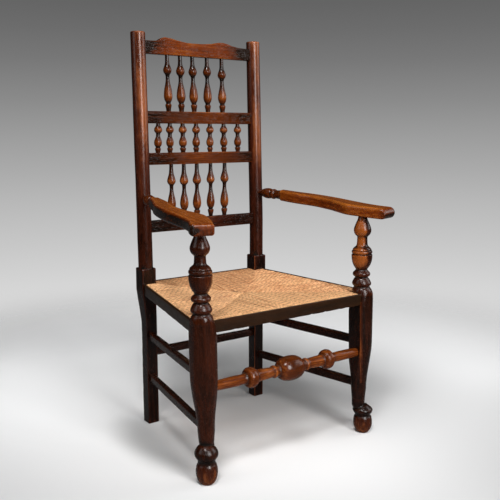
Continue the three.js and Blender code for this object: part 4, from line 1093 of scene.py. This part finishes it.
def strand_path(edge_point, inward, reach, hand):
    """The middle of one strand: 13 points from under the meeting line, over the rail and back
    below. inward is the unit vector from the rail to the middle, reach the strand's length."""
    out = ROLL + (reach - ROLL) * TOP_SHARES
    top = edge_point + inward * out[:, None]
    height = rush_top(top[:, 0], top[:, 1]) - STRAND_RADIUS + 0.8 + hand["lift"]
    height[0] -= 2.0
    sway = hand["sway"] * np.sin(np.pi * TOP_SHARES ** 0.8) * min(1.0, reach / 90)
    top = top + np.array([-inward[1], inward[0]]) * sway[:, None]
    deep = STRIP_HIGH - 0.5
    rim = np.array([(ROLL * 0.42, 2.9), (STRAND_RADIUS + 0.1, 7.4), (STRAND_RADIUS + 0.1, deep - 7.4),
                    (ROLL * 0.42, deep - 2.9), (reach * 0.5 + ROLL / 2, deep - 4.4), (reach, deep - 6.5)])
    below = np.column_stack([edge_point + inward * rim[:, :1], seat_top(edge_point[1]) - rim[:, 1]])
    return np.concatenate([np.column_stack([top, height]), below])


print("the top of a strand's path has", len(TOP_SHARES), "points")

# %% A tube round the path
# The brown stain on the left of the seat, which also stands as painted shade there, and its reach.
STAIN_AND_SHADE_AT, STAIN_AND_SHADE_REACH = (-105, 190), (45, 60)


def strand_shell(path, inward, hand, triangle_light):
    """A tube round the path: at angle a, the point is the width times cos a sideways plus the
    thickness times sin a on the path's normal."""
    along = unit(np.gradient(path, axis=0))
    sideways = np.broadcast_to(np.array([-inward[1], inward[0], 0.0]), path.shape)
    normal = unit(np.cross(along, sideways))
    angle = circle(STRAND_AROUND)[0] + hand["turn"]
    radius = STRAND_RADIUS * (1 + hand["swell"] * np.sin(np.arange(len(path)) * 1.7 + hand["phase"]))
    rings = (path[:, None] + (1.03 * radius[:, None] * np.cos(angle))[..., None] * sideways[:, None]
             + (0.95 * radius[:, None] * np.sin(angle))[..., None] * normal[:, None])
    travel = np.concatenate([[0], np.cumsum(np.linalg.norm(np.diff(path, axis=0), axis=1))])
    twist = np.stack(np.broadcast_arrays(
        np.cos(angle)[None] * 0.003, np.sin(angle)[None] * 0.003,
        travel[:, None] * MM + hand["start"]), -1)
    # The stain, which is also painted shade, fades by bell curves of x and y.
    soiled_and_shaded = (hump(rings[..., 0], STAIN_AND_SHADE_AT[0], STAIN_AND_SHADE_REACH[0])
              * hump(rings[..., 1], STAIN_AND_SHADE_AT[1], STAIN_AND_SHADE_REACH[1]))
    return {"rings": rings, "numbers": {
        "strand": twist, "tone": np.full(soiled_and_shaded.shape, hand["tone"]), "soiled_and_shaded": soiled_and_shaded,
        "pale": np.full(soiled_and_shaded.shape, triangle_light)}}


print("each strand is", 2 * STRAND_RADIUS, "mm thick")

# %% Four triangles of strands
# How much lighter each triangle is painted, as painted light for how the lamps fall on strands
# of its direction, and the least length of a strand.
TRIANGLE_LIGHT, SHORTEST = {"front": 1.0, "left": 0.7, "back": 0.0, "right": -0.2}, 14.0


def triangle_of_strands(edge, low, high):
    """All strands of one triangle, side by side along its edge. From the front and back edges
    they reach along y to the meeting line, and from the side edges along x."""
    count = int((high - low) / STRAND_PITCH)
    shells = []
    for spot in np.linspace(low, high, count) + dice.normal(0, 0.28, count):
        if edge in ("front", "back"):
            line, y = (meeting_front, RUSH_FRONT) if edge == "front" else (meeting_back, RUSH_BACK)
            first = np.array([spot, y])
            last = np.array([spot, np.interp(abs(spot), line[::-1, 0], line[::-1, 1])])
        else:
            side = dict(SIDES)[edge]
            line = meeting_front if spot < meeting_front[-1, 1] else meeting_back[::-1]
            first = np.array([side * rush_half_width(spot), spot])
            last = np.array([side * np.interp(spot, line[:, 1], line[:, 0]), spot])
        reach = np.linalg.norm(last - first)
        hand = {"lift": dice.normal(0, 0.6), "sway": dice.normal(0, 1.4),
                "turn": dice.uniform(0, 1), "swell": dice.uniform(0.03, 0.1),
                "phase": dice.uniform(0, 6), "start": dice.uniform(0, 3), "tone": dice.uniform(0, 1)}
        if reach >= SHORTEST:
            inward = (last - first) / reach
            path = strand_path(first, inward, reach + 3.5, hand)
            shells.append(strand_shell(path, inward, hand, TRIANGLE_LIGHT[edge]))
    return shells


strands = triangle_of_strands("front", -235, 235) + triangle_of_strands("back", -174, 174)
for name, _ in SIDES:
    strands += triangle_of_strands(name, SIDE_FRONT_Y + 2.5, POST_FRONT - 2.5)
print(len(strands), "strands,", STRAND_PITCH, "mm apart")

# %% [markdown]
# ## The finish of the rush
# Two leaves twisted together show a slanting line at every half turn. The line comes from the
# angle round the strand plus its length, both of which ride on the points, so it winds like the
# real twist. Layers of colour follow: the leaf, a tone for each triangle that is painted light for
# how the lamps fall on strands of its direction, brown spots, and a stain that is also painted shade.

# %% Twist, fibres and colours
TWIST_LENGTH = 0.017
tree, shader = new_material("twisted_rush")
strand = riding(tree, "strand", "Vector")
around, third, travel = after_node("ShaderNodeSeparateXYZ", {0: strand})
turns = plus(times(reckon("ARCTAN2", third, around), 2.0), times(travel, 2 * math.pi / TWIST_LENGTH))
ply = spread(reckon("SINE", turns), -1, 1)
fibre = noise(strand, (900, 900, 90), 3.0, 0.7)
lengthwise = noise(strand, (180, 180, 26), 3.0, 0.65)
spots = noise(strand, (60, 60, 14), 2.0, 0.5)
leaf = mixed(spread(lengthwise, 0.34, 0.66), srgb(182, 122, 74), srgb(252, 200, 146))
# The pale tone is painted light for each triangle, and the soiled brown is a stain and painted shade.
for share, strength, colour in ((riding(tree, "tone"), 0.45, (226, 164, 118)),
                                (riding(tree, "pale"), 0.62, (255, 205, 150)),
                                (spread(spots, 0.56, 0.68), 0.5, (164, 106, 72)),
                                (spread(fibre, 0.5, 0.3), 0.4, (150, 98, 62)),
                                (spread(ply, 0.35, 0.05), 0.62, (132, 82, 50)),
                                (riding(tree, "soiled_and_shaded"), 0.4, (120, 84, 62))):
    leaf = mixed(times(share, strength, clamp=True), leaf, srgb(*colour))
bump = after_node("ShaderNodeBump", {
    "Strength": 0.9, "Distance": 0.0008, "Height": plus(times(ply, 0.45), times(fibre, 0.6))})
fill(shader, {"Base Color": leaf, "Normal": bump[0], "Roughness": spread(fibre, 0.2, 0.8, 0.5, 0.75),
              "Specular IOR Level": 0.3})
weave = place("rush_strands", mesh_from(*strands), "twisted_rush", "rush_seat")
print("the strands have", len(weave.data.polygons), "faces")

# %% The pad of scraps under the strands
SCRAPS_BELOW = 0.0022
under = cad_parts["rush_seat"].data.copy()
soft = bmesh.new()
soft.from_mesh(under)
bmesh.ops.remove_doubles(soft, verts=soft.verts, dist=1e-5)
bmesh.ops.subdivide_edges(soft, edges=soft.edges, cuts=4, use_grid_fill=True)
bmesh.ops.recalc_face_normals(soft, faces=soft.faces)
soft.to_mesh(under)
soft.free()
spots, facing = np.empty((2, 3 * len(under.vertices)), np.float32)
under.vertices.foreach_get("co", spots)
under.vertices.foreach_get("normal", facing)
spots, facing = spots.reshape(-1, 3), facing.reshape(-1, 3)
pressed = SAT_IN_DIP * MM * sat_in(spots[:, 0] / MM, spots[:, 1] / MM - SHIFT_Y) * (facing[:, 2] > 0.5)
spots = spots - SCRAPS_BELOW * facing - pressed[:, None] * (0, 0, 1)
under.vertices.foreach_set("co", spots.ravel())
under.update()
# Painted shade: the scraps are coloured dark brown, as the gaps between strands look in shadow.
tree, shader = new_material("rush_scraps_as_shade")
bits = noise(add_node(tree, "ShaderNodeTexCoord").outputs["Object"], (320, 320, 320), 4.0, 0.7)
fill(shader, {"Base Color": mixed(spread(bits, 0.3, 0.7), srgb(72, 46, 26), srgb(150, 104, 66)),
              "Roughness": 0.85})
place("rush_stuffing", under, "rush_scraps_as_shade", "rush_seat")
print("the pad has", len(under.polygons), "faces")

# %% [markdown]
# ## The room
# A pale floor that fades out into the background, so no edge shows. Four lamps, large and soft,
# give a broad sheen on the wax: one in front, one high up, and a weaker one on either side. The
# soft shade under and behind the chair is painted on the floor, as such wide shade would need
# lamps as big as a wall. A faint glow, for the camera alone, lifts the floor behind the left
# post. The background's grey gradient is seen by the camera and in reflections only.

# %% The floor's disc
FLOOR_AROUND = 96
radii = np.concatenate([[0.02], np.linspace(0.1, 4.0, 60)])
disc = (radii[:, None, None] * circle(FLOOR_AROUND)[1]).reshape(-1, 3)
floor_mesh = bpy.data.meshes.new("floor")
floor_mesh.from_pydata(disc, [], tube_faces(len(radii), FLOOR_AROUND)[0][:, ::-1].tolist()
                       + [list(range(FLOOR_AROUND))])
floor = bpy.data.objects.new("floor", floor_mesh)
scene.collection.objects.link(floor)
print("floor", 2 * radii[-1], "m across")

# %% The floor's shade, glow and fade
floor_finish = bpy.data.materials.new("pale_floor")
floor_finish.use_nodes = True
floor_mesh.materials.append(floor_finish)
tree = floor_finish.node_tree
tree.nodes.clear()
where = add_node(tree, "ShaderNodeTexCoord").outputs["Object"]
LIGHT_FLOOR, DARK_FLOOR = (0.98, 0.98, 0.98, 1), (0.64, 0.64, 0.64, 1)
# Painted shade: its middle, where it is full, where it ends, the share of the floor's
# brightness that it leaves, and how many times narrower it is along x.
SHADED = [((0.36, 0.31), 0.05, 0.75, 0.45, 1), ((-0.23, 0.06), 0.08, 0.34, 0.52, 2.2),
          ((0.66, -0.6), 0.1, 0.75, 0.78, 1)]


def far_from(point, near, far, narrow=1):
    """0 within the near distance from a point of the floor, 1 from the far one, smooth between."""
    apart = after_node("ShaderNodeVectorMath", {
        0: scaled(where, (narrow, 1, 1)), 1: (point[0] * narrow, point[1], 0)}, operation="DISTANCE")
    return after_node("ShaderNodeMapRange", {0: apart["Value"], 1: near, 2: far},
                      interpolation_type="SMOOTHERSTEP")[0]


# Painted light: the floor is paler in a pool round the chair and greyer further out, for the lamps' falloff.
pool = mixed(far_from((0.41, 0.57), 0.74, 1.5), LIGHT_FLOOR, DARK_FLOOR)
for point, near, far, left, narrow in SHADED:
    share = plus(times(far_from(point, near, far, narrow), 1 - left), left)
    pool = after_node("ShaderNodeVectorMath", {0: pool, 1: share}, operation="MULTIPLY")[0]
rays = add_node(tree, "ShaderNodeLightPath").outputs
glow = times(times(reckon("SUBTRACT", 1.0, far_from((-0.36, 0.68), 0.1, 0.75)), rays["Is Camera Ray"]), 0.13)
lit = after_node("ShaderNodeAddShader", {
    0: after_node("ShaderNodeBsdfDiffuse", {"Color": pool})[0],
    1: after_node("ShaderNodeEmission", {"Strength": glow})[0]})
fade = reckon("MAXIMUM", far_from((0, 0), 0.8, 2.3), times(rays["Is Glossy Ray"], 0.85))
clear = add_node(tree, "ShaderNodeBsdfTransparent").outputs
blend = after_node("ShaderNodeMixShader", {0: fade, 1: lit[0], 2: clear[0]})
add_node(tree, "ShaderNodeOutputMaterial", {0: blend[0]})
print(len(SHADED), "pools of shade")

# %% The background
# Greys of the background by the height of the direction above the horizon, from -0.5 to 0.2.
GREYS = [(-0.5, 226), (-0.44, 226), (-0.36, 225), (-0.309, 223), (-0.255, 218), (-0.2, 213), (-0.146, 199),
         (-0.09, 184), (-0.05, 171), (0.0, 155), (0.045, 138), (0.0976, 119), (0.136, 108), (0.17, 100)]
scene.world = bpy.data.worlds.new("room")
scene.world.use_nodes = True
tree = scene.world.node_tree
tree.nodes.clear()
direction = add_node(tree, "ShaderNodeTexCoord").outputs["Generated"]
height = after_node("ShaderNodeSeparateXYZ", {0: direction})[2]
greys = add_node(tree, "ShaderNodeValToRGB", {0: spread(height, GREYS[0][0], 0.2)})
stops = greys.color_ramp.elements
while len(stops) < len(GREYS):
    stops.new(0.5)
for stop, (at, grey) in zip(stops, GREYS):
    stop.position = (at - GREYS[0][0]) / (0.2 - GREYS[0][0])
    stop.color = srgb(grey, grey, grey)
behind = (math.sin(math.radians(CAMERA_TURN)), math.cos(math.radians(CAMERA_TURN)), 0)
away = after_node("ShaderNodeVectorMath", {0: direction, 1: behind}, operation="DOT_PRODUCT")["Value"]
seen = after_node("ShaderNodeBackground", {"Color": greys.outputs[0]})
mirrored = after_node("ShaderNodeBackground", {
    "Color": greys.outputs[0], "Strength": spread(away, 0.1, 0.8, 0.01, 0.14)})
ambient = add_node(tree, "ShaderNodeBackground", {"Color": (0.9, 0.95, 1.0, 1), "Strength": 0.09}).outputs
rays = add_node(tree, "ShaderNodeLightPath").outputs
mirrors = reckon("MAXIMUM", rays["Is Glossy Ray"], rays["Is Transmission Ray"])
unseen = after_node("ShaderNodeMixShader", {0: mirrors, 1: ambient[0], 2: mirrored[0]})
either = after_node("ShaderNodeMixShader", {0: rays["Is Camera Ray"], 1: unseen[0], 2: seen[0]})
add_node(tree, "ShaderNodeOutputWorld", {0: either[0]})
print("greys from", GREYS[0][1], "to", GREYS[-1][1])

# %% The lamps
LAMPS_AIM = np.array([0, 0, 0.5])


def lamp(name, azimuth, elevation, distance, size, level):
    """A rectangular area lamp, seen from the chair at an azimuth from the front, clockwise from
    above, and an elevation. The level is the brightness of a white sheet at the aim that faces
    the lamp, which takes a power of level times pi squared times the distance squared."""
    turn, rise = math.radians(azimuth), math.radians(elevation)
    data = bpy.data.lights.new(name, "AREA")
    data.shape = "RECTANGLE"
    data.size, data.size_y = size
    data.energy = level * (math.pi * distance) ** 2
    light = bpy.data.objects.new(name, data)
    away = np.array([-math.sin(turn) * math.cos(rise), -math.cos(turn) * math.cos(rise), math.sin(rise)])
    light.location = LAMPS_AIM + away * distance
    light.rotation_euler = (math.pi / 2 - rise, 0, -turn)
    scene.collection.objects.link(light)
    return light


lamps = [lamp("lamp_front", 2, 24, 4.0, (1.3, 2.4), 0.86),
         lamp("lamp_high", 44, 60, 4.6, (1.0, 1.0), 0.52),
         lamp("lamp_right", -66, 24, 3.6, (1.8, 2.2), 0.26),
         lamp("lamp_left", 96, 26, 3.6, (1.6, 1.8), 0.12)]
scene.view_settings.view_transform = "Standard"
print("lamps:", [(l.name, round(l.data.energy)) for l in lamps])
